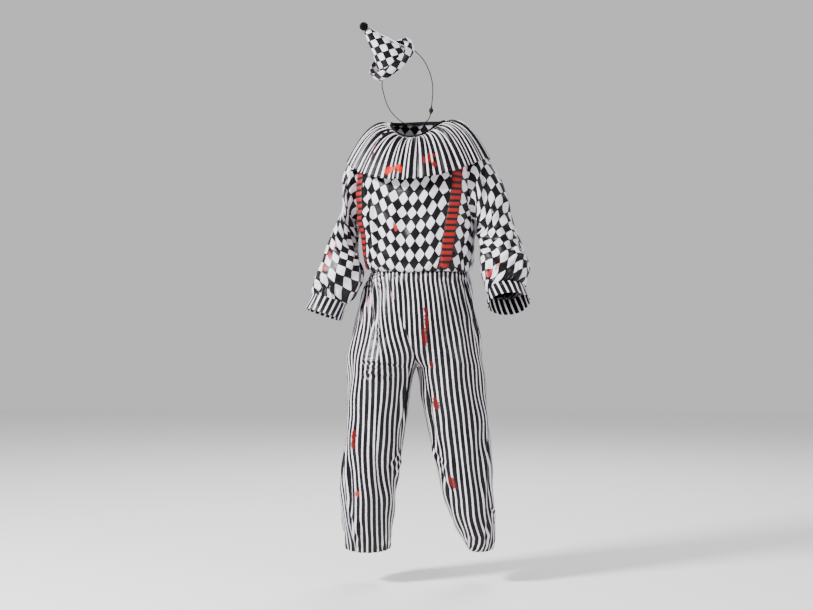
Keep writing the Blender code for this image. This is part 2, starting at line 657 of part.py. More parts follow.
def trouser_panel(hand, side):
    """Outer and inner grids of a panel, with its seam edges kept on their own side of each seam."""
    heights = HIP_ROWS + LEG_ROWS
    columns = np.linspace(0, 1, LEG_COLUMNS + 1)
    outer = np.zeros((len(heights), len(columns), 3))
    inner = np.zeros_like(outer)
    for i, z in enumerate(heights):
        for j, s in enumerate(columns):
            point = trouser_point(s, z, hand, side)
            n = trouser_normal(s, z, hand, side)
            edge = np.zeros(3)
            if j == 0:
                n = unit(n + trouser_normal(s, z, hand, -side))
                edge = unit(trouser_point(0.03, z, hand, side) - trouser_point(0.03, z, hand, -side))
            if j == LEG_COLUMNS and z < CROTCH_Z:
                n = unit(n + trouser_normal(s, z, hand, -side))
                edge = unit(trouser_point(0.97, z, hand, side) - trouser_point(0.97, z, hand, -side))
            if j == LEG_COLUMNS and z > CROTCH_Z:
                n = centre_seam_normal(z, hand, side)
                edge = unit(trouser_point(0.97, z, hand, side) - trouser_point(0.97, z, -hand, side))
            if j == LEG_COLUMNS and z == CROTCH_Z:
                n = np.array([0.0, 0.0, -1.0])
                edge = np.array([hand, side, 0.0])
            outer[i, j] = point + n * CLOTH / 2 + edge * GAP / 2
            inner[i, j] = point - n * CLOTH / 2 + edge * GAP / 2
            if -1.0 < z <= -0.75:
                for layer in (outer, inner):
                    clear = (layer[i, j, 0] - CROTCH_X) * hand
                    layer[i, j, 0] = CROTCH_X + hand * max(clear, GAP / 2)
    return outer, inner


for hand, word in ((1, "left"), (-1, "right")):
    for side, face in ((-1, "front"), (1, "back")):
        outer, inner = trouser_panel(hand, side)
        wall("trouser_%s_%s" % (face, word), outer, inner, False, satin_stripe)


# Hat: a blunt cone with a turned-up brim, tipped to the wearer's right and forward.
HAT_AXIS = unit(HAT_TOP - HAT_BASE)
HAT_SIDE = unit(np.cross(np.array([0.0, 1.0, 0.0]), HAT_AXIS))
HAT_FRONT = np.cross(HAT_AXIS, HAT_SIDE)
HAT_HEIGHT = float(np.linalg.norm(HAT_TOP - HAT_BASE))


def hat_point(radius, height, k):
    """A point round the hat's axis."""
    angle = 2 * math.pi * k / HAT_SIDES
    return (HAT_BASE + HAT_AXIS * height + HAT_SIDE * radius * math.cos(angle)
            + HAT_FRONT * radius * math.sin(angle))


def hat_wall(name, profile, cloth, closed_top=False):
    """A turned wall from a profile of radius and height, its top closed where that is asked."""
    rings = np.array([[hat_point(r, h, k) for k in range(HAT_SIDES)] for r, h in profile])
    normals = ring_normals(rings)
    outer, inner = rings + normals * CLOTH / 2, rings - normals * CLOTH / 2
    if not closed_top:
        return wall(name, outer, inner, True, cloth)
    shift = len(profile) * HAT_SIDES
    top = shift - HAT_SIDES
    faces = ring_faces(len(profile), HAT_SIDES, HAT_SIDES)
    for j in range(HAT_SIDES):
        k = (j + 1) % HAT_SIDES
        faces.append((j, j + shift, k + shift, k))
    faces.append(tuple(top + j for j in range(HAT_SIDES)))
    faces.append(tuple(shift + top + j for j in reversed(range(HAT_SIDES))))
    points = np.concatenate([outer.reshape(-1, 3), inner.reshape(-1, 3)])
    points[shift + top:] -= HAT_AXIS * CLOTH
    return closed_mesh(name, points, faces, cloth)


hat_cloth = material("hat_check", WHITE, 0.45)
# Profiles by radius and height over the hat's base.
CONE_PROFILE = [(HAT_BASE_RADIUS, 0.0), (0.046, 0.036), (0.033, 0.070), (0.022, 0.100),
                (HAT_TOP_RADIUS, HAT_HEIGHT)]
BRIM_FOLD = -0.024
BRIM_PROFILE = [(HAT_BASE_RADIUS + GAP * 0.4, -GAP * 0.9), (0.070, -0.018), (0.080, BRIM_FOLD),
                (0.0885, -0.010), (0.0880, 0.012)]
hat_wall("hat_cone", CONE_PROFILE, hat_cloth, True)
hat_wall("hat_brim", BRIM_PROFILE, hat_cloth)

# Chin elastic: a thin round cord from one side of the hat under the chin to the other, knotted once.
ELASTIC_SIDES = 5
ELASTIC_STEPS = 52
KNOT_AT = 0.36
KNOT_RADIUS = 0.0042
ELASTIC_SEAT = BRIM_FOLD - CLOTH / 2 - GAP - ELASTIC_RADIUS
ELASTIC_END_RADIUS = 0.079
KNOT_SPREAD = 0.012
Place = namedtuple("Place", "share x y z")
ELASTIC = [
    Place(0.00, *hat_point(ELASTIC_END_RADIUS, ELASTIC_SEAT, 0.5)),
    Place(0.10, 0.0220, -0.026, 0.2300),
    Place(0.22, 0.0480, -0.044, 0.1560),
    Place(0.34, 0.0450, -0.072, 0.0700),
    Place(0.42, 0.0340, -0.094, 0.0250),
    Place(0.52, -0.0060, -0.118, 0.0000),
    Place(0.62, -0.0560, -0.112, 0.0160),
    Place(0.72, -0.0960, -0.090, 0.0600),
    Place(0.87, -0.1190, -0.068, 0.1280),
    Place(1.00, *hat_point(ELASTIC_END_RADIUS, ELASTIC_SEAT, 11.0)),
]


def elastic_point(share):
    """A point of the elastic's middle line."""
    return np.array([along(ELASTIC, "share", share, axis) for axis in "xyz"])


rings = []
for i in range(ELASTIC_STEPS + 1):
    share = i / ELASTIC_STEPS
    run = unit(elastic_point(min(share + 0.01, 1.0)) - elastic_point(max(share - 0.01, 0.0)))
    flat = unit(np.cross(run, np.array([0.0, 1.0, 0.0])))
    rise = np.cross(run, flat)
    radius = ELASTIC_RADIUS + KNOT_RADIUS * math.exp(-((share - KNOT_AT) / KNOT_SPREAD) ** 2)
    rings.append([elastic_point(share) + radius * (flat * math.cos(turn) + rise * math.sin(turn))
                  for turn in np.linspace(0, 2 * math.pi, ELASTIC_SIDES, endpoint=False)])
points = np.array(rings).reshape(-1, 3)
faces = [tuple(reversed(range(ELASTIC_SIDES))),
         tuple(ELASTIC_STEPS * ELASTIC_SIDES + k for k in range(ELASTIC_SIDES))]
for i in range(ELASTIC_STEPS):
    for j in range(ELASTIC_SIDES):
        k = (j + 1) % ELASTIC_SIDES
        low, high = i * ELASTIC_SIDES, (i + 1) * ELASTIC_SIDES
        faces.append((low + j, low + k, high + k, high + j))
closed_mesh("hat_elastic", points, faces, material("elastic_black", BLACK, 0.6))

# Pompom: locks of yarn standing out of a round core.
POMPOM_CORE = 0.011
POMPOM_SEAT = 0.0143
core = bpy.data.meshes.new("hat_pompom")
pile = bmesh.new()
bmesh.ops.create_icosphere(pile, subdivisions=2, radius=POMPOM_CORE)
locks = bmesh.ops.inset_individual(pile, faces=list(pile.faces), thickness=0.0005, depth=0.0)
for face in list(pile.faces):
    if len(face.verts) == 3 and face not in locks["faces"]:
        centre = face.calc_center_median()
        for vert in face.verts:
            vert.co = centre + (vert.co - centre) * 0.6 + centre.normalized() * (POMPOM_RADIUS - POMPOM_CORE)
bmesh.ops.translate(pile, verts=pile.verts,
                    vec=tuple(HAT_TOP + HAT_AXIS * (CLOTH / 2 + GAP + POMPOM_SEAT)))
pile.to_mesh(core)
pile.free()
core.materials.append(material("pompom_yarn", BLACK, 0.9))
bpy.context.scene.collection.objects.link(bpy.data.objects.new("hat_pompom", core))
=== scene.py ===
import math
from collections import namedtuple

import bpy
import numpy as np
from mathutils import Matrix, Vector


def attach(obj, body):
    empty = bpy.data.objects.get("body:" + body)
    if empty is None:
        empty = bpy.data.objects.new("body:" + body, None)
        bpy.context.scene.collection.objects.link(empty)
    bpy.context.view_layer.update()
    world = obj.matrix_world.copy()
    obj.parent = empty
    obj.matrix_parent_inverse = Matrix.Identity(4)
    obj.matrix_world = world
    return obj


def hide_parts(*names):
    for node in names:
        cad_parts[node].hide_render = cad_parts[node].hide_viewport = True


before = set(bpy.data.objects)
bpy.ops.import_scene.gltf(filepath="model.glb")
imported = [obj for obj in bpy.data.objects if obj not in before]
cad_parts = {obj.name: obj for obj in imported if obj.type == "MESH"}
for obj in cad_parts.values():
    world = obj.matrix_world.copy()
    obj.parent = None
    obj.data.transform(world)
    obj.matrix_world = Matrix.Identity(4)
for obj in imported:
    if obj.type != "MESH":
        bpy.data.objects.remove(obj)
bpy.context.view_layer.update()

# The camera looks at the suit square on from five metres, at the height of its hips.
VIEW_MIDDLE = Vector((-0.039, 0.0, -0.595))
VIEW_DISTANCE = 5.0
camera = bpy.data.objects.new("camera", bpy.data.cameras.new("camera"))
camera.data.lens = 65
camera.data.sensor_width = 36
camera.location = VIEW_MIDDLE - Vector((0.0, VIEW_DISTANCE, 0.0))
camera.rotation_euler = (VIEW_MIDDLE - camera.location).to_track_quat("-Z", "Y").to_euler()
bpy.context.scene.collection.objects.link(camera)
bpy.context.scene.camera = camera


# Floor and light: a plain pale floor where the wearer's soles would be, and large soft lamps, the main
# one high on the left of the view.
def linear(colour):
    """An sRGB hex value as linear red, green, blue and full alpha."""
    parts = [int(colour[i:i + 2], 16) / 255 for i in (1, 3, 5)]
    return [c / 12.92 if c <= 0.04045 else ((c + 0.055) / 1.055) ** 2.4 for c in parts] + [1.0]


def add(tree, kind, inputs=None, **settings):
    """Adds a node with its settings; inputs take values or links from other nodes' sockets."""
    node = tree.nodes.new(kind)
    for name, value in settings.items():
        setattr(node, name, value)
    for name, value in (inputs or {}).items():
        if isinstance(value, bpy.types.NodeSocket):
            tree.links.new(value, node.inputs[name])
        else:
            node.inputs[name].default_value = value
    return node


FLOOR_Z = -1.537
floor_mesh = bpy.data.meshes.new("floor")
floor_mesh.from_pydata([(-6, -4, FLOOR_Z), (6, -4, FLOOR_Z), (6, 8, FLOOR_Z), (-6, 8, FLOOR_Z)], [], [(0, 1, 2, 3)])
floor = bpy.data.objects.new("floor", floor_mesh)
bpy.context.scene.collection.objects.link(floor)
floor_paint = bpy.data.materials.new("matt floor paint")
floor_paint.use_nodes = True
floor_shader = floor_paint.node_tree.nodes["Principled BSDF"]
floor_shader.inputs["Base Color"].default_value = linear("#e9e8e6")
floor_shader.inputs["Roughness"].default_value = 0.9
floor_mesh.materials.append(floor_paint)

world = bpy.data.worlds.new("studio")
world.use_nodes = True
world.node_tree.nodes["Background"].inputs["Color"].default_value = linear("#f4f4f6")
world.node_tree.nodes["Background"].inputs["Strength"].default_value = 0.72
bpy.context.scene.world = world
Lamp = namedtuple("Lamp", "name x y z size power")
for lamp in (Lamp("key", -3.6, -2.2, 2.0, 0.9, 660), Lamp("fill", 3.0, -2.6, 0.4, 2.0, 70),
             Lamp("back", 0.8, 3.0, 2.4, 2.0, 150)):
    data = bpy.data.lights.new(lamp.name, "AREA")
    data.size = lamp.size
    data.energy = lamp.power
    shining = bpy.data.objects.new(lamp.name, data)
    shining.location = (lamp.x, lamp.y, lamp.z)
    shining.rotation_euler = (Vector((0, 0, -0.6)) - shining.location).to_track_quat("-Z", "Y").to_euler()
    bpy.context.scene.collection.objects.link(shining)


# Bodice, front and back: two panels of printed satin, gathered at the waist so that they blouse over the
# waist seam. Soft creases run down beside the braces and out of the armholes.
CLOTH = 0.0008
TORSO_TURN = math.radians(16)
SECTION_POWER = 2.4
NECK_HALF_WIDTH, NECK_HALF_DEPTH = 0.095, 0.085
NECK_FRONT_Z, NECK_SIDE_Z, NECK_BACK_Z = -0.037, 0.022, 0.030
NECK_CLEAR = 0.0012
SHOULDER_X, SHOULDER_Z = 0.190, -0.036
NECK_SHARE = 0.5
SHOULDER_ROWS = 4
Torso = namedtuple("Torso", "z half_width half_depth x half_turn")
TORSO = [
    Torso(-0.4820, 0.164, 0.118, 0.005, 90),
    Torso(-0.4795, 0.171, 0.126, 0.005, 90),
    Torso(-0.4720, 0.178, 0.134, 0.005, 90),
    Torso(-0.4560, 0.184, 0.142, 0.005, 90),
    Torso(-0.4260, 0.188, 0.147, 0.005, 90),
    Torso(-0.3650, 0.194, 0.147, 0.000, 90),
    Torso(-0.3100, 0.201, 0.143, -0.004, 90),
    Torso(-0.2960, 0.204, 0.142, -0.004, 80),
    Torso(-0.2720, 0.207, 0.140, -0.004, 71),
    Torso(-0.2440, 0.210, 0.138, -0.004, 66),
    Torso(-0.2150, 0.212, 0.136, -0.004, 64),
]
TORSO_ROWS = len(TORSO) - 1
kept_values = {}


def along(rows, key, value, field):
    """A column of a table at a place between its rows, on a smooth curve through them."""
    label = (id(rows), key, value, field)
    if label in kept_values:
        return kept_values[label]
    keys = [getattr(row, key) for row in rows]
    values = [getattr(row, field) for row in rows]
    if keys[0] > keys[-1]:
        keys.reverse()
        values.reverse()
    value = min(max(value, keys[0]), keys[-1])
    i = min(max(int(np.searchsorted(keys, value)) - 1, 0), len(keys) - 2)
    span = keys[i + 1] - keys[i]
    t = (value - keys[i]) / span
    slopes = []
    for k in (i, i + 1):
        low, high = max(k - 1, 0), min(k + 1, len(keys) - 1)
        slopes.append((values[high] - values[low]) / (keys[high] - keys[low]) * span)
    a, b = values[i], values[i + 1]
    result = (a * (2 * t**3 - 3 * t**2 + 1) + slopes[0] * (t**3 - 2 * t**2 + t)
              + b * (3 * t**2 - 2 * t**3) + slopes[1] * (t**3 - t**2))
    kept_values[label] = result
    return result


def unit(vectors):
    """Vectors brought to length one."""
    vectors = np.asarray(vectors, float)
    return vectors / np.maximum(np.linalg.norm(vectors, axis=-1, keepdims=True), 1e-12)


def smooth(low, high, value):
    """0 below low, 1 above high, an even S between them."""
    t = np.clip((value - low) / (high - low), 0.0, 1.0)
    return t * t * (3 - 2 * t)


def turned(point, angle):
    """A point turned about the upright axis, its front towards -X."""
    x, y, z = point
    return np.array([x * math.cos(angle) + y * math.sin(angle), y * math.cos(angle) - x * math.sin(angle), z])


def neck_point(angle, out=0.0):
    """A point of the neck seam, angle 0 at the front, moved out from it by a distance."""
    s, c = math.sin(angle), math.cos(angle)
    end_z = NECK_FRONT_Z if c > 0 else NECK_BACK_Z
    z = NECK_SIDE_Z + (end_z - NECK_SIDE_Z) * c * c
    return np.array([(NECK_HALF_WIDTH + out) * s, -(NECK_HALF_DEPTH + out) * c, z])


def top_edge(u, side):
    """The upper edge of a panel: shoulder seams outside, the neck curve in the middle."""
    if abs(u) >= NECK_SHARE:
        t = (abs(u) - NECK_SHARE) / (1 - NECK_SHARE)
        start = neck_point(math.pi / 2, NECK_CLEAR)
        return np.array([math.copysign(start[0] + (SHOULDER_X - start[0]) * t, u), 0.0,
                         start[2] + (SHOULDER_Z - start[2]) * t])
    angle = u / NECK_SHARE * math.pi / 2
    return neck_point(angle if side < 0 else math.pi - angle, NECK_CLEAR)


def torso_point(u, t, side):
    """A point of the bodice before it is turned; t counts sections, then the shoulder part."""
    if t <= TORSO_ROWS:
        i = min(int(max(t, 0.0)), TORSO_ROWS - 1)
        z = TORSO[i].z + (TORSO[i + 1].z - TORSO[i].z) * (t - i)
        angle = u * math.radians(along(TORSO, "z", z, "half_turn"))
        s, c = math.sin(angle), math.cos(angle)
        power = 2 / SECTION_POWER
        x = along(TORSO, "z", z, "half_width") * math.copysign(abs(s) ** power, s)
        y = along(TORSO, "z", z, "half_depth") * abs(c) ** power
        shift = along(TORSO, "z", z, "x")
        return np.array([x + shift * math.cos(TORSO_TURN), y * side + shift * math.sin(TORSO_TURN), z])
    share = min((t - TORSO_ROWS) / SHOULDER_ROWS, 1.0)
    chest = torso_point(u, TORSO_ROWS, side)
    top = top_edge(u, side)
    bend = np.array([chest[0], chest[1] * 0.97, top[2] - 0.020 - 0.035 * (1 - abs(u))])
    return chest * (1 - share) ** 2 + bend * 2 * share * (1 - share) + top * share**2


def grid_normals(points, ring):
    """Unit normals of a grid of points, from its neighbours."""
    if ring:
        body = points[:, :-1]
        across = np.roll(body, -1, axis=1) - np.roll(body, 1, axis=1)
        across = np.concatenate([across, across[:, :1]], axis=1)
    else:
        across = np.gradient(points, axis=1)
    return unit(np.cross(across, np.gradient(points, axis=0)))


def lengths(points, axis, middle):
    """Arc length over a grid along one axis, counted from the row or column called middle."""
    steps = np.linalg.norm(np.diff(points, axis=axis), axis=2)
    total = np.cumsum(steps, axis=axis)
    total = np.concatenate([np.zeros_like(np.take(total, [0], axis=axis)), total], axis=axis)
    return total - np.take(total, [middle], axis=axis)


Cloth = namedtuple("Cloth", "points normals around down girth height")


def lay(points, outside, ring=False, middle=None):
    """A grid of points made ready for creases; outside is a point well inside the hollow."""
    normals = grid_normals(points, ring)
    if np.mean(np.sum(normals * (points - outside), axis=2)) < 0:
        normals = -normals
    middle = points.shape[1] // 2 if middle is None else middle
    around, down = lengths(points, 1, middle), lengths(points, 0, 0)
    down = np.broadcast_to(down.mean(axis=1, keepdims=True), down.shape) * 0.5 + down * 0.5
    girth = (around[:, -1] - around[:, 0])[:, None] if ring else None
    return Cloth(points, normals, around, down, girth, np.zeros(points.shape[:2]))


def seen(cloth, x, z, facing):
    """The place on the cloth of a point that is seen at x and z, from the front (-1) or the back (1)."""
    far = (cloth.points[..., 0] - x) ** 2 + (cloth.points[..., 2] - z) ** 2
    far = far + np.where(cloth.normals[..., 1] * facing > 0.04, 0.0, 1.0)
    i, j = np.unravel_index(np.argmin(far), far.shape)
    return cloth.around[i, j], cloth.down[i, j]


def crease(cloth, start, end, width, depth, bow=0.0):
    """One soft crease in the cloth, a ridge where depth is above 0, with low shoulders beside it."""
    run = np.array(end) - np.array(start)
    length = max(float(np.hypot(*run)), 1e-6)
    across = cloth.around - start[0]
    if cloth.girth is not None:
        across = across - cloth.girth * np.round(across / cloth.girth)
    below = cloth.down - start[1]
    t = (across * run[0] + below * run[1]) / length**2
    aside = (across * run[1] - below * run[0]) / length
    aside = aside - bow * np.sin(np.pi * np.clip(t, 0, 1)) - width * 0.35 * np.sin(7 * t + 40 * width + start[0] * 90)
    fade = smooth(0.0, 0.30, t) * smooth(0.0, 0.38, 1 - t)
    spread = width * (0.75 + 0.6 * np.clip(t, 0, 1))
    shape = np.exp(-(aside / spread) ** 2) - 0.38 * np.exp(-((np.abs(aside) - 1.9 * spread) / spread) ** 2)
    cloth.height[...] += depth * shape * fade


Fold = namedtuple("Fold", "x0 z0 x1 z1 width depth bow")


def creases(cloth, folds, facing):
    """Creases given by their two ends as seen from the front or the back."""
    for fold in folds:
        start = seen(cloth, fold.x0, fold.z0, facing)
        end = seen(cloth, fold.x1, fold.z1, facing)
        crease(cloth, start, end, fold.width, fold.depth, fold.bow)


def gathers(cloth, edge, towards, count, reach, depth, seed):
    """Short uneven creases that run in from a gathered edge; towards is 1 down the cloth, -1 up it."""
    chance = np.random.default_rng(seed)
    low, high = cloth.around[edge].min(), cloth.around[edge].max()
    pitch = (high - low) / count
    at = cloth.down[edge].mean()
    for k in range(count):
        place = low + (k + 0.5 + chance.uniform(-0.3, 0.3)) * pitch
        length = reach * chance.uniform(0.45, 1.25)
        lean = chance.uniform(-0.12, 0.12) * length
        start = (place, at - towards * length * 0.45)
        end = (place + lean, at + towards * length)
        crease(cloth, start, end, pitch * chance.uniform(0.20, 0.34), -depth * chance.uniform(0.5, 1.25))


def rumple(cloth, seed, size, depth):
    """Long faint waves of no set direction, as limp satin has everywhere."""
    chance = np.random.default_rng(seed)
    total = np.zeros_like(cloth.height)
    for _ in range(14):
        way = chance.uniform(0, math.pi)
        wave = size * chance.uniform(0.6, 1.7)
        phase = (cloth.around * math.cos(way) + cloth.down * math.sin(way) * 0.6) / wave
        bend = 0.8 * np.sin(cloth.down / size * 1.3 + chance.uniform(0, 6))
        total += np.sin(2 * math.pi * phase + bend + chance.uniform(0, 6))
    cloth.height[...] += depth * total / 4


def hold(cloth, top=0.0, bottom=0.0, left=0.0, right=0.0):
    """Brings the creases to nothing towards the sewn edges, within a distance of each."""
    around, down = cloth.around, cloth.down
    keep = np.ones_like(cloth.height)
    for reach, distance in ((top, down - down[:1]), (bottom, down[-1:] - down),
                            (left, around - around[:, :1]), (right, around[:, -1:] - around)):
        if reach:
            keep = keep * smooth(0.0, reach, distance)
    cloth.height[...] *= keep


def puckered(cloth):
    """The points of the cloth with its creases in it."""
    return cloth.points + cloth.normals * cloth.height[..., None]


def satin_piece(name, points, print_across, print_down, cloths, thick=CLOTH, outward=None):
    """A mesh of cloth from a grid of points, with its print coordinates in metres as a map."""
    rows, columns = points.shape[:2]
    mesh = bpy.data.meshes.new(name)
    faces = [(i * columns + j, i * columns + j + 1, (i + 1) * columns + j + 1, (i + 1) * columns + j)
             for i in range(rows - 1) for j in range(columns - 1)]
    if outward is not None:
        first = np.cross(points[:, 1:] - points[:, :-1], np.gradient(points, axis=0)[:, :-1])
        if np.mean(np.sum(first * outward[:, :-1], axis=2)) < 0:
            faces = [face[::-1] for face in faces]
    mesh.from_pydata(points.reshape(-1, 3).tolist(), [], faces)
    layer = mesh.uv_layers.new(name="print")
    places = np.stack([print_across, print_down], axis=2).reshape(-1, 2)
    corners = np.zeros(len(mesh.loops), int)
    mesh.loops.foreach_get("vertex_index", corners)
    layer.data.foreach_set("uv", places[corners].astype(np.float32).ravel())
    for cloth in cloths:
        mesh.materials.append(cloth)
    mesh.shade_smooth()
    piece = bpy.data.objects.new(name, mesh)
    bpy.context.scene.collection.objects.link(piece)
    shell = piece.modifiers.new("thickness", "SOLIDIFY")
    shell.thickness = thick
    shell.offset = -1.0
    shell.material_offset = len(cloths) - 1
    return piece


Stain = namedtuple("Stain", "place half_width half_height turn colour")
STRIPE_PITCH = 0.0195
DIAMOND_WIDTH = 0.034
DIAMOND_HEIGHT = 0.048
PRINT_BLACK = "#060508"
PRINT_WHITE = "#ece6ee"
BLOOD = "#600201"


def printed_satin(name, pattern, turn=0.0, stains=(), wrong_side=False, shift=0.0, tall=DIAMOND_HEIGHT):
    """Polyester satin, woven with long floats and printed in black: a soft broad gloss over the print's colour, which
    carries clouds of painted sheen and shade.

    The stripes are 19.5 mm a pair and the diamonds 34 by 48 mm. The wrong side is duller, and its print
    paler, because the floats lie on the other face."""
    cloth = bpy.data.materials.new(name)
    cloth.use_nodes = True
    tree = cloth.node_tree
    shader = tree.nodes["Principled BSDF"]
    flat = add(tree, "ShaderNodeUVMap", uv_map="print")
    # The print's edge wanders by half a millimetre, as ink does on a slippery cloth.
    wander = add(tree, "ShaderNodeTexNoise", {"Vector": flat.outputs["UV"], "Scale": 120.0, "Detail": 2.0})
    wander = add(tree, "ShaderNodeVectorMath", {0: wander.outputs["Color"], 1: (0.5, 0.5, 0.5)}, operation="SUBTRACT")
    wander = add(tree, "ShaderNodeVectorMath", {0: wander.outputs["Vector"], "Scale": 0.0016}, operation="SCALE")
    place = add(tree, "ShaderNodeVectorMath", {0: flat.outputs["UV"], 1: wander.outputs["Vector"]}, operation="ADD")
    place = add(tree, "ShaderNodeVectorRotate", {"Vector": place.outputs["Vector"], "Angle": turn},
                rotation_type="Z_AXIS")
    split = add(tree, "ShaderNodeSeparateXYZ", {"Vector": place.outputs["Vector"]})
    if pattern == "stripes":
        moved = add(tree, "ShaderNodeMath", {0: split.outputs["X"], 1: shift}, operation="ADD")
        bar = add(tree, "ShaderNodeMath", {0: moved.outputs["Value"], 1: STRIPE_PITCH / 2}, operation="PINGPONG")
        white = add(tree, "ShaderNodeMapRange", {"Value": bar.outputs["Value"], "From Min": STRIPE_PITCH * 0.172,
                                                 "From Max": STRIPE_PITCH * 0.145}, interpolation_type="SMOOTHSTEP")
    else:
        side = add(tree, "ShaderNodeMath", {0: split.outputs["X"], 1: math.pi / DIAMOND_WIDTH}, operation="MULTIPLY")
        rise = add(tree, "ShaderNodeMath", {0: split.outputs["Y"], 1: math.pi / tall}, operation="MULTIPLY")
        first = add(tree, "ShaderNodeMath", {0: side.outputs["Value"], 1: rise.outputs["Value"]}, operation="ADD")
        second = add(tree, "ShaderNodeMath", {0: side.outputs["Value"], 1: rise.outputs["Value"]}, operation="SUBTRACT")
        first = add(tree, "ShaderNodeMath", {0: first.outputs["Value"]}, operation="SINE")
        second = add(tree, "ShaderNodeMath", {0: second.outputs["Value"]}, operation="SINE")
        check = add(tree, "ShaderNodeMath", {0: first.outputs["Value"], 1: second.outputs["Value"]},
                    operation="MULTIPLY")
        white = add(tree, "ShaderNodeMapRange", {"Value": check.outputs["Value"], "From Min": 0.010, "From Max": 0.050},
                    interpolation_type="SMOOTHSTEP")
    dark, light = (PRINT_BLACK, PRINT_WHITE) if not wrong_side else ("#17161b", "#b9b4bd")
    # Painted sheen and shade: faint noise clouds of painted grey shade in the white and painted grey lights in the
    # black stand in for the satin's shifting sheen.
    painted_sheen_clouds = add(tree, "ShaderNodeTexNoise", {"Vector": flat.outputs["UV"], "Scale": 22.0, "Detail": 3.0})
    white_with_painted_shade = add(tree, "ShaderNodeMix", {"Factor": painted_sheen_clouds.outputs["Fac"], 6: linear(light), 7: linear("#d3ccd8")},
               data_type="RGBA")
    black_with_painted_sheen = add(tree, "ShaderNodeMix", {"Factor": painted_sheen_clouds.outputs["Fac"], 6: linear(dark), 7: linear("#0c0b0e")},
               data_type="RGBA")
    colour = add(tree, "ShaderNodeMix", {"Factor": white.outputs["Result"], 6: black_with_painted_sheen.outputs[2], 7: white_with_painted_shade.outputs[2]},
                 data_type="RGBA").outputs[2]
    # Splashes of stage blood: each a ragged oval of red that leaves some print showing.
    ragged = add(tree, "ShaderNodeTexNoise", {"Vector": flat.outputs["UV"], "Scale": 150.0, "Detail": 3.0})
    for stain in stains:
        away = add(tree, "ShaderNodeVectorMath", {0: flat.outputs["UV"], 1: (*stain.place, 0.0)}, operation="SUBTRACT")
        away = add(tree, "ShaderNodeVectorRotate", {"Vector": away.outputs["Vector"], "Angle": stain.turn},
                   rotation_type="Z_AXIS")
        away = add(tree, "ShaderNodeVectorMath", {0: away.outputs["Vector"],
                                                  1: (stain.half_width, stain.half_height, 1.0)}, operation="DIVIDE")
        away = add(tree, "ShaderNodeVectorMath", {0: away.outputs["Vector"]}, operation="LENGTH")
        rough = add(tree, "ShaderNodeMath", {0: ragged.outputs["Fac"], 1: 1.5, 2: away.outputs["Value"]},
                    operation="MULTIPLY_ADD")
        wet = add(tree, "ShaderNodeMapRange", {"Value": rough.outputs["Value"], "From Min": 1.75, "From Max": 1.55,
                                               "To Max": 0.95}, interpolation_type="SMOOTHSTEP")
        colour = add(tree, "ShaderNodeMix", {"Factor": wet.outputs["Result"], 6: colour, 7: linear(stain.colour)},
                     data_type="RGBA").outputs[2]
    tree.links.new(colour, shader.inputs["Base Color"])
    shader.inputs["Roughness"].default_value = 0.6 if wrong_side else 0.34
    shader.inputs["Specular IOR Level"].default_value = 0.2
    shader.inputs["Anisotropic"].default_value = 0.35
    shader.inputs["Sheen Weight"].default_value = 0.02
    shader.inputs["Sheen Roughness"].default_value = 0.3
    # Satin floats are 0.3 mm wide; they are drawn ten times as coarse, so that the grain shows at all.
    grain = add(tree, "ShaderNodeMapping", {"Vector": flat.outputs["UV"], "Scale": (330.0, 90.0, 1.0)})
    floats = add(tree, "ShaderNodeTexNoise", {"Vector": grain.outputs["Vector"], "Scale": 1.0, "Detail": 2.0})
    crumple = add(tree, "ShaderNodeTexNoise", {"Vector": flat.outputs["UV"], "Scale": 34.0, "Detail": 4.0,
                                               "Distortion": 0.6})
    low = add(tree, "ShaderNodeBump", {"Height": crumple.outputs["Fac"], "Strength": 0.35, "Distance": 0.004})
    fine = add(tree, "ShaderNodeBump", {"Height": floats.outputs["Fac"], "Normal": low.outputs["Normal"],
                                        "Strength": 0.25, "Distance": 0.0004})
    tree.links.new(fine.outputs["Normal"], shader.inputs["Normal"])
    return cloth


def stained(cloth, print_across, print_down, marks):
    """Stains given by their place as seen from the front, turned into places on the print."""
    result = []
    for x, z, half_width, half_height, turn, colour in marks:
        far = (cloth.points[..., 0] - x) ** 2 + (cloth.points[..., 2] - z) ** 2
        far = far + np.where(cloth.normals[..., 1] < -0.04, 0.0, 1.0)
        i, j = np.unravel_index(np.argmin(far), far.shape)
        result.append(Stain((float(print_across[i, j]), float(print_down[i, j])), half_width, half_height, turn,
                            colour))
    return result


def finish_piece(piece, slot, *nodes):
    """What every piece here needs: it rides with the suit and stands for its solids."""
    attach(piece, "root")
    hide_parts(*nodes)


BODICE_ROWS, BODICE_COLUMNS = 150, 150
FRONT_FOLDS = [
    Fold(-0.163, -0.190, -0.156, -0.450, 0.006, -0.0067, 0.004),
    Fold(-0.150, -0.230, -0.146, -0.440, 0.005, 0.0045, -0.003),
    Fold(-0.140, -0.270, -0.141, -0.455, 0.005, -0.0045, 0.002),
    Fold(-0.177, -0.180, -0.170, -0.330, 0.006, -0.0060, 0.000),
    Fold(0.190, -0.286, 0.136, -0.360, 0.007, -0.0067, 0.006),
    Fold(0.197, -0.326, 0.126, -0.415, 0.008, -0.0060, 0.008),
    Fold(0.184, -0.374, 0.150, -0.462, 0.007, -0.0053, 0.004),
    Fold(0.178, -0.270, 0.150, -0.300, 0.006, 0.0045, 0.000),
    Fold(-0.115, -0.204, -0.061, -0.340, 0.014, 0.0033, 0.010),
    Fold(0.075, -0.187, 0.041, -0.323, 0.016, -0.0030, -0.012),
    Fold(-0.050, -0.300, -0.060, -0.450, 0.013, -0.0033, 0.006),
    Fold(0.020, -0.330, 0.040, -0.460, 0.014, 0.0036, 0.006),
]
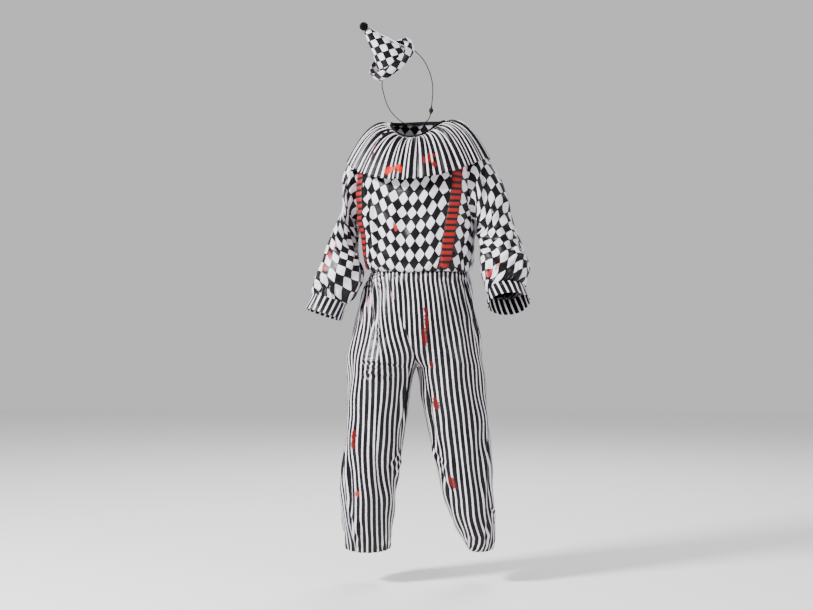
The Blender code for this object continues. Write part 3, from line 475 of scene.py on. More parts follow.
BACK_FOLDS = [
    Fold(0.120, -0.130, 0.090, -0.400, 0.016, -0.0075, 0.012),
    Fold(-0.070, -0.150, -0.060, -0.430, 0.018, 0.0060, -0.010),
    Fold(0.020, -0.180, 0.010, -0.440, 0.013, -0.0067, 0.006),
    Fold(-0.150, -0.200, -0.110, -0.330, 0.009, -0.0075, 0.008),
    Fold(0.180, -0.230, 0.130, -0.330, 0.010, -0.0075, -0.006),
    Fold(0.150, -0.340, 0.100, -0.455, 0.010, 0.0060, 0.006),
    Fold(-0.130, -0.330, -0.120, -0.460, 0.009, -0.0067, 0.000),
]
FRONT_MARKS = [
    (-0.075, -0.337, 0.008, 0.017, 0.3, "#9c2a26"),
    (0.178, -0.141, 0.012, 0.010, 0.0, "#d49aa2"),
]
bodices = {}
for side, label in ((-1, "bodice_front"), (1, "bodice_back")):
    grid = np.zeros((BODICE_ROWS + 1, BODICE_COLUMNS + 1, 3))
    for i, t in enumerate(np.linspace(TORSO_ROWS + SHOULDER_ROWS, 0, BODICE_ROWS + 1)):
        for j, u in enumerate(np.linspace(-1, 1, BODICE_COLUMNS + 1)):
            grid[i, j] = turned(torso_point(u, t, side), TORSO_TURN)
    bodice = lay(grid, np.array([0.0, 0.0, -0.25]))
    rumple(bodice, 11 + side, 0.085, 0.0034)
    creases(bodice, FRONT_FOLDS if side < 0 else BACK_FOLDS, side)
    gathers(bodice, BODICE_ROWS, -1, 30, 0.055, 0.0045, 21 + side)
    hold(bodice, top=0.02, bottom=0.004, left=0.02, right=0.02)
    gather = 1 + 0.06 * smooth(-0.40, -0.48, grid[:, :1, 2])
    across = bodice.around * gather
    stains = stained(bodice, across, bodice.down, FRONT_MARKS) if side < 0 else []
    outer = printed_satin(label + " satin, diamonds", "diamonds", turn=-0.10, stains=stains)
    inner = printed_satin(label + " satin, wrong side", "diamonds", turn=-0.10, wrong_side=True)
    piece = satin_piece(label, puckered(bodice), across, bodice.down, [outer, inner], outward=bodice.normals)
    finish_piece(piece, "satin_check", label)
    bodices[side] = bodice


# Sleeves: full tubes of the same satin, cut with the print slanting, so that one side of each check runs
# down the arm. They are set in at the armholes and gathered into the cuffs.
Ring = namedtuple("Ring", "outer_x outer_z inner_x inner_z y half_depth")
SLEEVE_LEFT = [
    Ring(0.218, -0.080, 0.202, -0.305, -0.055, 0.088),
    Ring(0.240, -0.118, 0.205, -0.315, -0.054, 0.087),
    Ring(0.266, -0.155, 0.206, -0.327, -0.053, 0.086),
    Ring(0.286, -0.192, 0.206, -0.341, -0.053, 0.085),
    Ring(0.302, -0.240, 0.206, -0.359, -0.055, 0.085),
    Ring(0.319, -0.306, 0.206, -0.384, -0.060, 0.085),
    Ring(0.335, -0.360, 0.206, -0.410, -0.072, 0.085),
    Ring(0.350, -0.412, 0.207, -0.440, -0.092, 0.085),
    Ring(0.364, -0.452, 0.208, -0.468, -0.117, 0.083),
    Ring(0.3665, -0.480, 0.210, -0.498, -0.138, 0.079),
    Ring(0.362, -0.512, 0.214, -0.526, -0.160, 0.070),
    Ring(0.356, -0.533, 0.220, -0.545, -0.174, 0.058),
    Ring(0.350, -0.540, 0.229, -0.552, -0.181, 0.047),
]
SLEEVE_RIGHT = [
    Ring(-0.213, -0.086, -0.206, -0.305, 0.054, 0.088),
    Ring(-0.232, -0.123, -0.209, -0.315, 0.052, 0.085),
    Ring(-0.243, -0.155, -0.210, -0.327, 0.049, 0.082),
    Ring(-0.246, -0.195, -0.210, -0.341, 0.045, 0.080),
    Ring(-0.249, -0.240, -0.211, -0.359, 0.040, 0.078),
    Ring(-0.262, -0.290, -0.211, -0.382, 0.032, 0.078),
    Ring(-0.281, -0.337, -0.210, -0.408, 0.022, 0.079),
    Ring(-0.301, -0.386, -0.203, -0.436, 0.010, 0.080),
    Ring(-0.319, -0.434, -0.193, -0.462, -0.002, 0.080),
    Ring(-0.337, -0.478, -0.184, -0.494, -0.014, 0.077),
    Ring(-0.350, -0.515, -0.192, -0.528, -0.022, 0.072),
    Ring(-0.357, -0.541, -0.216, -0.566, -0.028, 0.063),
    Ring(-0.358, -0.556, -0.244, -0.594, -0.031, 0.054),
]
SLEEVE_SIDES = 16
SLEEVE_ROWS, SLEEVE_COLUMNS = 150, 128
CHECK_TURN = math.atan(DIAMOND_WIDTH / DIAMOND_HEIGHT)


def sleeve_centres(rows):
    """The middle of each sleeve section."""
    return [np.array([(r.outer_x + r.inner_x) / 2, r.y, (r.outer_z + r.inner_z) / 2]) for r in rows]


def sleeve_ring(rows, i, centres):
    """One oval of a sleeve, its first point at the outer edge and the next ones towards the front."""
    row = rows[i]
    low, high = max(i - 1, 0), min(i + 1, len(rows) - 1)
    middle = unit(centres[high] - centres[low])
    half_x = (row.outer_x - row.inner_x) / 2
    turn = TORSO_TURN * (1 - float(smooth(4, 10, i)))
    major = np.array([half_x, -half_x * math.tan(turn), (row.outer_z - row.inner_z) / 2])
    minor = np.cross(major, middle)
    minor[2] = minor[2] if i > 4 else 0.0
    minor[0] = minor[0] * float(smooth(4, 10, i)) + minor[1] * math.tan(turn)
    minor = unit(minor) * row.half_depth
    if minor[1] > 0:
        minor = -minor
    angles = np.linspace(0, 2 * math.pi, SLEEVE_SIDES, endpoint=False)
    return np.array([centres[i] + major * math.cos(a) + minor * math.sin(a) for a in angles])


def finer(grid, count, axis, ring):
    """A grid with more rows or columns, on smooth curves through the points it has."""
    size = grid.shape[axis]
    places = np.linspace(0, size if ring else size - 1, count)
    i = np.minimum(places.astype(int), size - 1 if ring else size - 2)
    t = places - i
    shape = [1] * grid.ndim
    shape[axis] = count
    t = t.reshape(shape)
    pick = []
    for step in (-1, 0, 1, 2):
        k = (i + step) % size if ring else np.clip(i + step, 0, size - 1)
        pick.append(np.take(grid, k, axis=axis))
    a, b, c, d = pick
    return b + 0.5 * t * (c - a + t * (2 * a - 5 * b + 4 * c - d + t * (3 * (b - c) + d - a)))


def armhole(hand):
    """The armhole's points, from the shoulder down the front edge and up the back edge."""
    heights = list(range(TORSO_ROWS - 4, TORSO_ROWS + SHOULDER_ROWS + 1))
    front = [turned(torso_point(hand, t, -1), TORSO_TURN) for t in reversed(heights)]
    back = [turned(torso_point(hand, t, 1), TORSO_TURN) for t in heights]
    return np.array(front[:-1] + back[:-1])


def sleeve_grid(hand, rows):
    """The whole sleeve as a fine grid, its seam on the inner side of the arm."""
    centres = sleeve_centres(rows)
    rings = np.array([sleeve_ring(rows, i, centres) for i in range(len(rows))])
    edge = armhole(hand)
    rings[0] = 0.45 * rings[0] + 0.55 * (edge + (centres[0] - edge.mean(axis=0)))
    rings[1] = 0.85 * rings[1] + 0.15 * (edge + (centres[1] - edge.mean(axis=0)))
    rings = np.concatenate([[edge], rings])
    rings = np.roll(rings, -SLEEVE_SIDES // 2, axis=1)
    return finer(finer(rings, SLEEVE_COLUMNS + 1, 1, True), SLEEVE_ROWS + 1, 0, False)


LEFT_FOLDS = [
    Fold(0.180, -0.272, 0.232, -0.352, 0.008, -0.0097, 0.004),
    Fold(0.192, -0.330, 0.300, -0.300, 0.009, -0.0090, 0.008),
    Fold(0.236, -0.270, 0.322, -0.322, 0.011, -0.0097, -0.006),
    Fold(0.226, -0.300, 0.300, -0.380, 0.012, 0.0090, 0.006),
    Fold(0.205, -0.380, 0.262, -0.420, 0.009, -0.0075, 0.004),
    Fold(0.218, -0.120, 0.214, -0.260, 0.008, -0.0075, 0.004),
    Fold(0.262, -0.160, 0.290, -0.250, 0.012, -0.0053, 0.004),
    Fold(0.330, -0.345, 0.290, -0.440, 0.012, -0.0075, 0.006),
    Fold(0.262, -0.440, 0.330, -0.480, 0.010, -0.0083, -0.008),
    Fold(0.300, -0.450, 0.350, -0.432, 0.009, 0.0075, 0.000),
    Fold(0.228, -0.450, 0.240, -0.530, 0.008, -0.0090, 0.004),
]
RIGHT_FOLDS = [
    Fold(-0.240, -0.150, -0.232, -0.262, 0.007, -0.0090, 0.004),
    Fold(-0.246, -0.290, -0.232, -0.410, 0.007, -0.0097, 0.003),
    Fold(-0.226, -0.300, -0.214, -0.440, 0.007, -0.0090, -0.003),
    Fold(-0.238, -0.200, -0.222, -0.270, 0.008, 0.0075, 0.003),
    Fold(-0.255, -0.270, -0.215, -0.330, 0.009, -0.0075, 0.006),
    Fold(-0.300, -0.390, -0.230, -0.420, 0.011, -0.0060, 0.010),
    Fold(-0.210, -0.430, -0.240, -0.520, 0.010, -0.0090, 0.006),
    Fold(-0.330, -0.500, -0.220, -0.548, 0.009, -0.0097, -0.008),
    Fold(-0.350, -0.530, -0.290, -0.552, 0.008, -0.0075, 0.000),
    Fold(-0.200, -0.500, -0.250, -0.570, 0.009, 0.0075, 0.004),
]
HIDDEN_LEFT = [
    Fold(0.260, -0.150, 0.280, -0.300, 0.012, -0.0090, 0.006),
    Fold(0.220, -0.330, 0.330, -0.350, 0.010, -0.0090, 0.008),
    Fold(0.230, -0.380, 0.340, -0.400, 0.011, -0.0075, -0.008),
    Fold(0.230, -0.430, 0.330, -0.470, 0.010, 0.0075, 0.006),
]
HIDDEN_RIGHT = [
    Fold(-0.240, -0.160, -0.236, -0.280, 0.010, -0.0083, 0.004),
    Fold(-0.215, -0.340, -0.290, -0.360, 0.010, -0.0090, 0.006),
    Fold(-0.220, -0.400, -0.310, -0.430, 0.010, -0.0090, -0.006),
    Fold(-0.230, -0.470, -0.330, -0.490, 0.010, 0.0075, 0.005),
]
LEFT_MARKS = [
    (0.230, -0.493, 0.012, 0.011, 0.3, "#a8222e"),
    (0.256, -0.468, 0.008, 0.008, 0.0, "#b2605e"),
]
RIGHT_MARKS = [
    (-0.279, -0.391, 0.008, 0.010, 0.3, "#b5605c"),
    (-0.299, -0.428, 0.012, 0.013, 0.4, "#96120c"),
    (-0.316, -0.469, 0.011, 0.011, 0.4, "#a02620"),
]
sleeves = {}
for hand, label, rows, folds, hidden, marks in (
        (1, "left", SLEEVE_LEFT, LEFT_FOLDS, HIDDEN_LEFT, LEFT_MARKS),
        (-1, "right", SLEEVE_RIGHT, RIGHT_FOLDS, HIDDEN_RIGHT, RIGHT_MARKS)):
    grid = sleeve_grid(hand, rows)
    centre = sleeve_centres(rows)[5]
    sleeve = lay(grid, centre, ring=True)
    rumple(sleeve, 31 + hand, 0.075, 0.0042)
    creases(sleeve, folds, -1)
    creases(sleeve, hidden, 1)
    gathers(sleeve, SLEEVE_ROWS, -1, 26, 0.060, 0.0050, 41 + hand)
    gathers(sleeve, 0, 1, 18, 0.030, 0.0016, 45 + hand)
    hold(sleeve, top=0.012, bottom=0.003)
    across = sleeve.around
    outer = printed_satin("sleeve satin, %s" % label, "diamonds", turn=-CHECK_TURN,
                          stains=stained(sleeve, across, sleeve.down, marks))
    inner = printed_satin("sleeve satin, %s, wrong side" % label, "diamonds", turn=-CHECK_TURN,
                          wrong_side=True)
    piece = satin_piece("sleeve_" + label, puckered(sleeve), across, sleeve.down, [outer, inner],
                        outward=sleeve.normals)
    finish_piece(piece, "satin_check", "sleeve_" + label)
    sleeves[hand] = sleeve


# Cuffs: bands of striped satin, folded double and sewn to the gathered sleeve ends, so that both faces
# show the print. They flare a little and stand open.
CUFF_ROWS = 18
for hand, label, rows, length, flare in ((1, "left", SLEEVE_LEFT, 0.062, 1.14),
                                         (-1, "right", SLEEVE_RIGHT, 0.056, 1.08)):
    centres = sleeve_centres(rows)
    last = sleeve_ring(rows, len(rows) - 1, centres)
    centre = last.mean(axis=0)
    axis = unit(np.cross(last[0] - centre, last[SLEEVE_SIDES // 4] - centre))
    axis = -axis if axis[2] > 0 else axis
    last = finer(np.roll(last, -SLEEVE_SIDES // 2, axis=0)[None], SLEEVE_COLUMNS + 1, 1, True)[0]
    grid = np.array([centre + (last - centre) * (1 + (flare - 1) * share) + axis * length * share
                     for share in np.linspace(0, 1, CUFF_ROWS + 1)])
    cuff = lay(grid, centre, ring=True)
    rumple(cuff, 51 + hand, 0.05, 0.0016)
    gathers(cuff, 0, 1, 24, 0.016, 0.0014, 53 + hand)
    sides = [printed_satin("cuff satin, %s, %s face" % (label, face), "stripes") for face in ("outer", "inner")]
    piece = satin_piece("cuff_" + label, puckered(cuff), cuff.around, cuff.down, sides, thick=0.0016,
                        outward=cuff.normals)
    finish_piece(piece, "satin_stripe", "cuff_" + label)


# Collar: one long strip of striped satin, gathered into the neck seam, so that its stripes run out from
# the neck and its free edge lies over the shoulders in shallow waves.
COLLAR_HALF_WIDTH, COLLAR_HALF_DEPTH = 0.244, 0.178
COLLAR_FRONT_Z, COLLAR_SIDE_Z, COLLAR_BACK_Z = -0.182, -0.102, -0.150
COLLAR_WAVES = 24
COLLAR_WAVE_DEPTH = 0.012
COLLAR_LIFT = 0.0025
COLLAR_STRIPES = 72
COLLAR_ROWS, COLLAR_COLUMNS = 36, 576


def collar_base(angle, share):
    """A point of the collar without its waves; share 0 at the neck and 1 at the free edge."""
    s, c = math.sin(angle), math.cos(angle)
    start = neck_point(angle, NECK_CLEAR)
    start[2] += COLLAR_LIFT
    low_z = COLLAR_FRONT_Z if c > 0 else COLLAR_BACK_Z
    end_z = COLLAR_SIDE_Z + (low_z - COLLAR_SIDE_Z) * abs(c) ** 1.6
    end = np.array([COLLAR_HALF_WIDTH * s, -COLLAR_HALF_DEPTH * c, end_z])
    point = start + (end - start) * share
    rise = 0.020 - 0.016 * max(c, 0.0)
    point[2] = start[2] + (end_z - start[2]) * share**1.8 + rise * math.sin(math.pi * share)
    return point


grid = np.zeros((COLLAR_ROWS + 1, COLLAR_COLUMNS + 1, 3))
for i, share in enumerate(np.linspace(0, 1, COLLAR_ROWS + 1)):
    for j, angle in enumerate(np.linspace(-math.pi, math.pi, COLLAR_COLUMNS + 1)):
        grid[i, j] = turned(collar_base(angle, share), TORSO_TURN)
collar = lay(grid, np.array([0.0, 0.0, -0.4]), ring=True)
shares = np.linspace(0, 1, COLLAR_ROWS + 1)[:, None]
turns = np.linspace(-math.pi, math.pi, COLLAR_COLUMNS + 1)[None, :]
swing = COLLAR_WAVES * turns + 1.1 * np.sin(3 * turns + 0.4) + 0.7 * np.sin(7 * turns) + 0.5 * np.sin(11 * turns)
uneven = 0.68 + 0.22 * np.sin(5 * turns + 1.0) + 0.16 * np.sin(9 * turns + 2.0)
collar.height[...] += (COLLAR_WAVE_DEPTH * (0.25 + 0.75 * shares) * smooth(0.0, 0.18, shares)
                       * 0.5 * (1 - np.cos(swing)) * uneven)
# Gathers run out from the neck; cloth is hidden in their furrows, so the stripes bunch on the ridges.
RUFFS = 36
ruffs = RUFFS * turns + 1.3 * np.sin(3 * turns + 0.5) + 1.0 * np.sin(8 * turns) + 0.8 * shares * np.sin(5 * turns)
strip = COLLAR_STRIPES * STRIPE_PITCH
near = 1 - 0.85 * smooth(0.15, 0.85, shares)
collar.height[...] += 0.0042 * smooth(0.0, 0.20, shares) * near * (np.cos(ruffs) - 0.7)
drift = 0.006 * shares * np.sin(6 * turns) + 0.004 * shares * np.sin(11 * turns + 1)
drift = drift - 0.62 * near * strip / (2 * math.pi * RUFFS) * np.sin(ruffs)
across = turns / (2 * math.pi) * strip + drift
down = np.broadcast_to(shares * 0.17, across.shape)
COLLAR_MARKS = [
    (-0.143, -0.062, 0.004, 0.014, 0.2, "#5c0a0a"),
    (-0.150, -0.096, 0.003, 0.014, 0.2, "#5c0a0a"),
    (0.037, -0.112, 0.006, 0.014, 0.0, "#7c0806"),
    (0.052, -0.134, 0.009, 0.009, 0.4, "#7c0806"),
    (0.020, -0.120, 0.004, 0.010, 0.0, "#7c0806"),
    (0.050, -0.098, 0.003, 0.006, 0.0, "#7c0806"),
    (-0.094, -0.146, 0.016, 0.010, 0.3, "#c81e04"),
    (-0.078, -0.147, 0.010, 0.007, 0.0, "#c81e04"),
    (-0.062, -0.146, 0.015, 0.010, -0.3, "#c81e04"),
]
outer = printed_satin("collar satin, stripes", "stripes",
                      stains=stained(collar, across, down, COLLAR_MARKS))
inner = printed_satin("collar satin, wrong side", "stripes", wrong_side=True)
piece = satin_piece("collar_ruffle", puckered(collar), across, down, [outer, inner], outward=collar.normals)
finish_piece(piece, "satin_stripe", "collar_ruffle")

# Neck binding: a narrow folded band of matt black tape that holds the neck edges together.
BINDING_HEIGHT, BINDING_THICK, BINDING_RISE = 0.011, 0.0026, 0.0040
outline = [(0.0, -0.5), (0.45, -0.35), (0.5, 0.0), (0.45, 0.35), (0.0, 0.5), (-0.45, 0.35), (-0.5, 0.0),
           (-0.45, -0.35)]
rings = []
for angle in np.linspace(0, 2 * math.pi, 145):
    rings.append([turned(neck_point(angle, -BINDING_THICK / 2 + BINDING_THICK * out)
                         + np.array([0, 0, BINDING_HEIGHT * up + BINDING_RISE]), TORSO_TURN)
                  for out, up in outline + outline[:1]])
band = np.array(rings)
tape = bpy.data.materials.new("matt cotton tape")
tape.use_nodes = True
tree = tape.node_tree
shader = tree.nodes["Principled BSDF"]
shader.inputs["Base Color"].default_value = linear("#060506")
shader.inputs["Roughness"].default_value = 0.8
shader.inputs["Specular IOR Level"].default_value = 0.15
# The tape's twill ribs are about 1 mm apart.
spot = add(tree, "ShaderNodeUVMap", uv_map="print")
ribs = add(tree, "ShaderNodeTexWave", {"Vector": spot.outputs["UV"], "Scale": 160.0, "Distortion": 1.0},
           bands_direction="DIAGONAL")
rib_bump = add(tree, "ShaderNodeBump", {"Height": ribs.outputs["Fac"], "Strength": 0.5, "Distance": 0.0003})
tree.links.new(rib_bump.outputs["Normal"], shader.inputs["Normal"])
piece = satin_piece("neck_binding", band, lengths(band, 1, 0), lengths(band, 0, 0), [tape],
                    outward=unit(band - band[:, :-1].mean(axis=1, keepdims=True)))
piece.modifiers.clear()
finish_piece(piece, "binding", "neck_binding")


# Braces: black ribbon with puffed red bars across it, sewn down on the bodice front from under the collar
# to the waist seam.
BRACE_WIDTH = 0.042
BRACE_BARS = 17
BRACE_PUFF = 0.0034
Track = namedtuple("Track", "z turn")
BRACE_LEFT = [Track(-0.130, 49), Track(-0.280, 46), Track(-0.400, 40), Track(-0.474, 35)]
BRACE_RIGHT = [Track(-0.130, -52), Track(-0.280, -55), Track(-0.400, -60), Track(-0.474, -62)]


def sample(grid, i, j):
    """A value of a grid between its rows and columns."""
    low_i, low_j = min(int(i), grid.shape[0] - 2), min(int(j), grid.shape[1] - 2)
    s, t = i - low_i, j - low_j
    top = grid[low_i, low_j] * (1 - t) + grid[low_i, low_j + 1] * t
    return top * (1 - s) + (grid[low_i + 1, low_j] * (1 - t) + grid[low_i + 1, low_j + 1] * t) * s


brace_cloth = bpy.data.materials.new("padded satin bars on black ribbon")
brace_cloth.use_nodes = True
tree = brace_cloth.node_tree
shader = tree.nodes["Principled BSDF"]
spot = add(tree, "ShaderNodeUVMap", uv_map="print")
split = add(tree, "ShaderNodeSeparateXYZ", {"Vector": spot.outputs["UV"]})
uneven = add(tree, "ShaderNodeTexNoise", {"Vector": spot.outputs["UV"], "Scale": 110.0, "Detail": 2.0})
edge = add(tree, "ShaderNodeMath", {0: uneven.outputs["Fac"], 1: 0.16, 2: split.outputs["Y"]},
           operation="MULTIPLY_ADD")
bar = add(tree, "ShaderNodeMath", {0: edge.outputs["Value"], 1: 0.5}, operation="PINGPONG")
red = add(tree, "ShaderNodeMapRange", {"Value": bar.outputs["Value"], "From Min": 0.18, "From Max": 0.25},
          interpolation_type="SMOOTHSTEP")
# The ribbon's own black edges show beside the bars, 2.5 mm wide.
inner = add(tree, "ShaderNodeMath", {0: split.outputs["X"]}, operation="ABSOLUTE")
inner = add(tree, "ShaderNodeMapRange", {"Value": inner.outputs["Value"], "From Min": 0.0195, "From Max": 0.0185})
red = add(tree, "ShaderNodeMath", {0: red.outputs["Result"], 1: inner.outputs["Result"]}, operation="MULTIPLY")
worn = add(tree, "ShaderNodeMix", {"Factor": uneven.outputs["Fac"], 6: linear("#7c0305"), 7: linear("#a00a0c")},
           data_type="RGBA")
mixed = add(tree, "ShaderNodeMix", {"Factor": red.outputs["Value"], 6: linear("#0d0607"), 7: worn.outputs[2]},
            data_type="RGBA")
tree.links.new(mixed.outputs[2], shader.inputs["Base Color"])
shader.inputs["Roughness"].default_value = 0.5
shader.inputs["Specular IOR Level"].default_value = 0.25
shader.inputs["Sheen Weight"].default_value = 0.05
soft = add(tree, "ShaderNodeBump", {"Height": uneven.outputs["Fac"], "Strength": 0.3, "Distance": 0.001})
tree.links.new(soft.outputs["Normal"], shader.inputs["Normal"])

front = bodices[-1]
front_points = puckered(front)
section_rows = [TORSO_ROWS + SHOULDER_ROWS - t for t in range(TORSO_ROWS + SHOULDER_ROWS + 1)]
for label, track in (("left", BRACE_LEFT), ("right", BRACE_RIGHT)):
    count = BRACE_BARS * 10
    strip = np.zeros((count + 1, 15, 3))
    out = np.zeros_like(strip)
    places = np.linspace(-1, 1, 15)
    for i, z in enumerate(np.linspace(track[0].z, track[-1].z, count + 1)):
        u = along(track, "z", z, "turn") / along(TORSO, "z", z, "half_turn")
        column = (u + 1) / 2 * BODICE_COLUMNS
        heights = [sample(front.points, r, column)[2] for r in range(BODICE_ROWS + 1)]
        row = float(np.interp(-z, -np.array(heights), np.arange(BODICE_ROWS + 1)))
        metres = abs(sample(front.around, row, min(column + 1, BODICE_COLUMNS)) - sample(front.around, row, column))
        phase = i / count * BRACE_BARS
        puff = abs(math.sin(math.pi * phase)) ** 0.6
        half = BRACE_WIDTH / 2 * (0.93 + 0.07 * puff)
        for j, place in enumerate(places):
            c = column + half * place / metres
            n = unit(sample(front.normals, row, c))
            crown = (1 - abs(place) ** 6) * (0.35 + 0.65 * puff)
            strip[i, j] = sample(front_points, row, c) + n * (0.0012 + BRACE_PUFF * crown)
            out[i, j] = n
    bars = np.broadcast_to(np.linspace(0, BRACE_BARS, count + 1)[:, None], strip.shape[:2])
    piece = satin_piece("brace_" + label, strip, lengths(strip, 1, 7), bars, [brace_cloth], thick=0.0012, outward=out)
    finish_piece(piece, "brace_cloth", "brace_" + label)


# Trousers: four panels of striped satin, two to a leg, gathered at the waist seam and again by elastic at
# the ankles. The stripes run down the legs and are cut off by the seams.
WAIST_Z, CROTCH_Z, HEM_Z = -0.482, -0.806, -1.418
CROTCH_X = -0.006
CROTCH_RISE = 0.105
HEM_DIP = 0.008
Leg = namedtuple("Leg", "z outer_x inner_x half_depth y seam_turn")
LEG_LEFT = [
    Leg(-0.806, 0.223, -0.006, 0.136, 0.004, 0),
    Leg(-0.850, 0.229, 0.004, 0.130, 0.003, 0),
    Leg(-0.918, 0.2345, 0.013, 0.122, 0.002, 0),
    Leg(-1.000, 0.241, 0.029, 0.114, 0.000, 0),
    Leg(-1.091, 0.249, 0.050, 0.107, -0.003, 0),
    Leg(-1.176, 0.257, 0.068, 0.103, -0.004, -4),
    Leg(-1.265, 0.259, 0.091, 0.098, -0.004, -8),
    Leg(-1.345, 0.261, 0.126, 0.088, -0.004, -12),
    Leg(-1.390, 0.2605, 0.152, 0.076, -0.004, -14),
    Leg(-1.418, 0.257, 0.167, 0.068, -0.004, -15),
]
LEG_RIGHT = [
    Leg(-0.806, -0.241, -0.006, 0.136, 0.004, 0),
    Leg(-0.850, -0.241, -0.019, 0.130, 0.003, 0),
    Leg(-0.918, -0.2415, -0.029, 0.122, 0.002, 0),
    Leg(-1.000, -0.243, -0.040, 0.114, 0.000, 0),
    Leg(-1.091, -0.250, -0.053, 0.107, -0.003, 8),
    Leg(-1.176, -0.262, -0.066, 0.104, -0.004, 22),
    Leg(-1.265, -0.2615, -0.077, 0.100, -0.004, 38),
    Leg(-1.345, -0.257, -0.085, 0.093, -0.004, 50),
    Leg(-1.390, -0.249, -0.092, 0.084, -0.004, 56),
    Leg(-1.418, -0.243, -0.098, 0.078, -0.004, 58),
]
Hip = namedtuple("Hip", "z left_x right_x half_depth x turn seam_shift")
HIPS = [
    Hip(-0.4832, 0.1640, -0.1640, 0.118, 0.005, 16.0, -0.078),
    Hip(-0.5000, 0.1710, -0.1710, 0.124, 0.005, 15.6, -0.076),
    Hip(-0.5300, 0.1800, -0.1840, 0.132, 0.005, 14.6, -0.070),
    Hip(-0.5850, 0.1890, -0.2020, 0.139, 0.004, 12.0, -0.056),
    Hip(-0.6500, 0.1980, -0.2190, 0.142, 0.002, 8.0, -0.038),
    Hip(-0.7100, 0.2090, -0.2300, 0.142, 0.001, 4.0, -0.022),
    Hip(-0.7600, 0.2170, -0.2370, 0.140, 0.000, 1.5, -0.012),
    Hip(-0.7880, 0.2200, -0.2395, 0.138, 0.000, 0.5, -0.008),
    Hip(-0.8060, 0.2230, -0.2410, 0.136, 0.000, 0.0, -0.006),
]
LEG_ROWS_FINE, LEG_COLUMNS_FINE = 240, 64


def hip_oval(z, hand):
    """Middle, half width and seam place of a thigh above the crotch, before its section is turned."""
    left, right = along(HIPS, "z", z, "left_x"), along(HIPS, "z", z, "right_x")
    seam = along(HIPS, "z", z, "seam_shift")
    share = min(max((z - CROTCH_Z) / CROTCH_RISE, 0.0), 1.0) ** 1.3
    out, far = (left, right) if hand > 0 else (right, left)
    inner_edge = seam + (far - seam) * share
    return (out + inner_edge) / 2, abs(out - inner_edge) / 2, seam


def trouser_point(s, z, hand, side):
    """A point of a trouser panel; s 0 at the outseam and 1 at the centre seam or inseam."""
    if z >= CROTCH_Z:
        middle, half, seam = hip_oval(z, hand)
        end = math.acos(min(max((seam - middle) * hand / half, -1.0), 1.0))
        angle = s * end
        y = along(HIPS, "z", z, "half_depth") * math.sin(angle)
        here = math.sin(end)
        other_middle, other_half, _ = hip_oval(z, -hand)
        there = math.sin(math.acos(min(max((seam - other_middle) * -hand / other_half, -1.0), 1.0)))
        if here > 1e-6:
            y *= ((here + there) / 2 / here) ** (s * s)
        y = y * side + 0.004 * float(smooth(WAIST_Z, CROTCH_Z, z))
        point = turned((middle + hand * half * math.cos(angle), y, z), math.radians(along(HIPS, "z", z, "turn")))
        return point + np.array([along(HIPS, "z", z, "x"), 0.0, 0.0])
    rows = LEG_LEFT if hand > 0 else LEG_RIGHT
    out, inner_edge = along(rows, "z", z, "outer_x"), along(rows, "z", z, "inner_x")
    angle = s * math.pi - math.radians(along(rows, "z", z, "seam_turn")) * side
    x = (out + inner_edge) / 2 + hand * abs(out - inner_edge) / 2 * math.cos(angle)
    y = along(rows, "z", z, "y") + side * along(rows, "z", z, "half_depth") * math.sin(angle)
    dip = HEM_DIP * max(-side * math.sin(angle), 0.0) * float(smooth(-1.30, -1.39, z))
    return np.array([x, y, z - dip])


RIGHT_LEG_FRONT = [
    Fold(-0.138, -0.480, -0.129, -0.750, 0.006, 0.0065, 0.004),
    Fold(-0.152, -0.520, -0.143, -0.740, 0.008, -0.0045, 0.003),
    Fold(-0.160, -0.480, -0.190, -0.700, 0.007, -0.0060, 0.004),
    Fold(-0.204, -0.786, -0.040, -0.802, 0.006, -0.0083, 0.006),
    Fold(-0.190, -0.812, -0.070, -0.826, 0.006, 0.0060, -0.004),
    Fold(-0.200, -0.836, -0.080, -0.836, 0.007, -0.0045, 0.003),
    Fold(-0.024, -0.800, -0.056, -1.040, 0.009, -0.0097, 0.005),
    Fold(-0.040, -0.850, -0.070, -1.000, 0.008, 0.0067, 0.003),
    Fold(-0.056, -1.070, -0.110, -1.150, 0.008, -0.0054, 0.004),
    Fold(-0.054, -1.110, -0.090, -1.180, 0.008, 0.0050, -0.004),
    Fold(-0.070, -1.140, -0.064, -1.240, 0.009, -0.0050, 0.004),
    Fold(-0.125, -1.050, -0.135, -1.290, 0.014, -0.0045, 0.008),
    Fold(-0.180, -1.000, -0.176, -1.240, 0.014, 0.0042, 0.006),
    Fold(-0.230, -1.100, -0.226, -1.320, 0.009, -0.0075, 0.004),
    Fold(-0.244, -1.040, -0.252, -1.200, 0.008, -0.0075, 0.000),
    Fold(-0.236, -1.290, -0.200, -1.400, 0.008, -0.0090, 0.003),
    Fold(-0.205, -1.300, -0.170, -1.405, 0.008, -0.0075, 0.000),
    Fold(-0.100, -0.500, -0.060, -0.700, 0.011, -0.0045, 0.006),
]
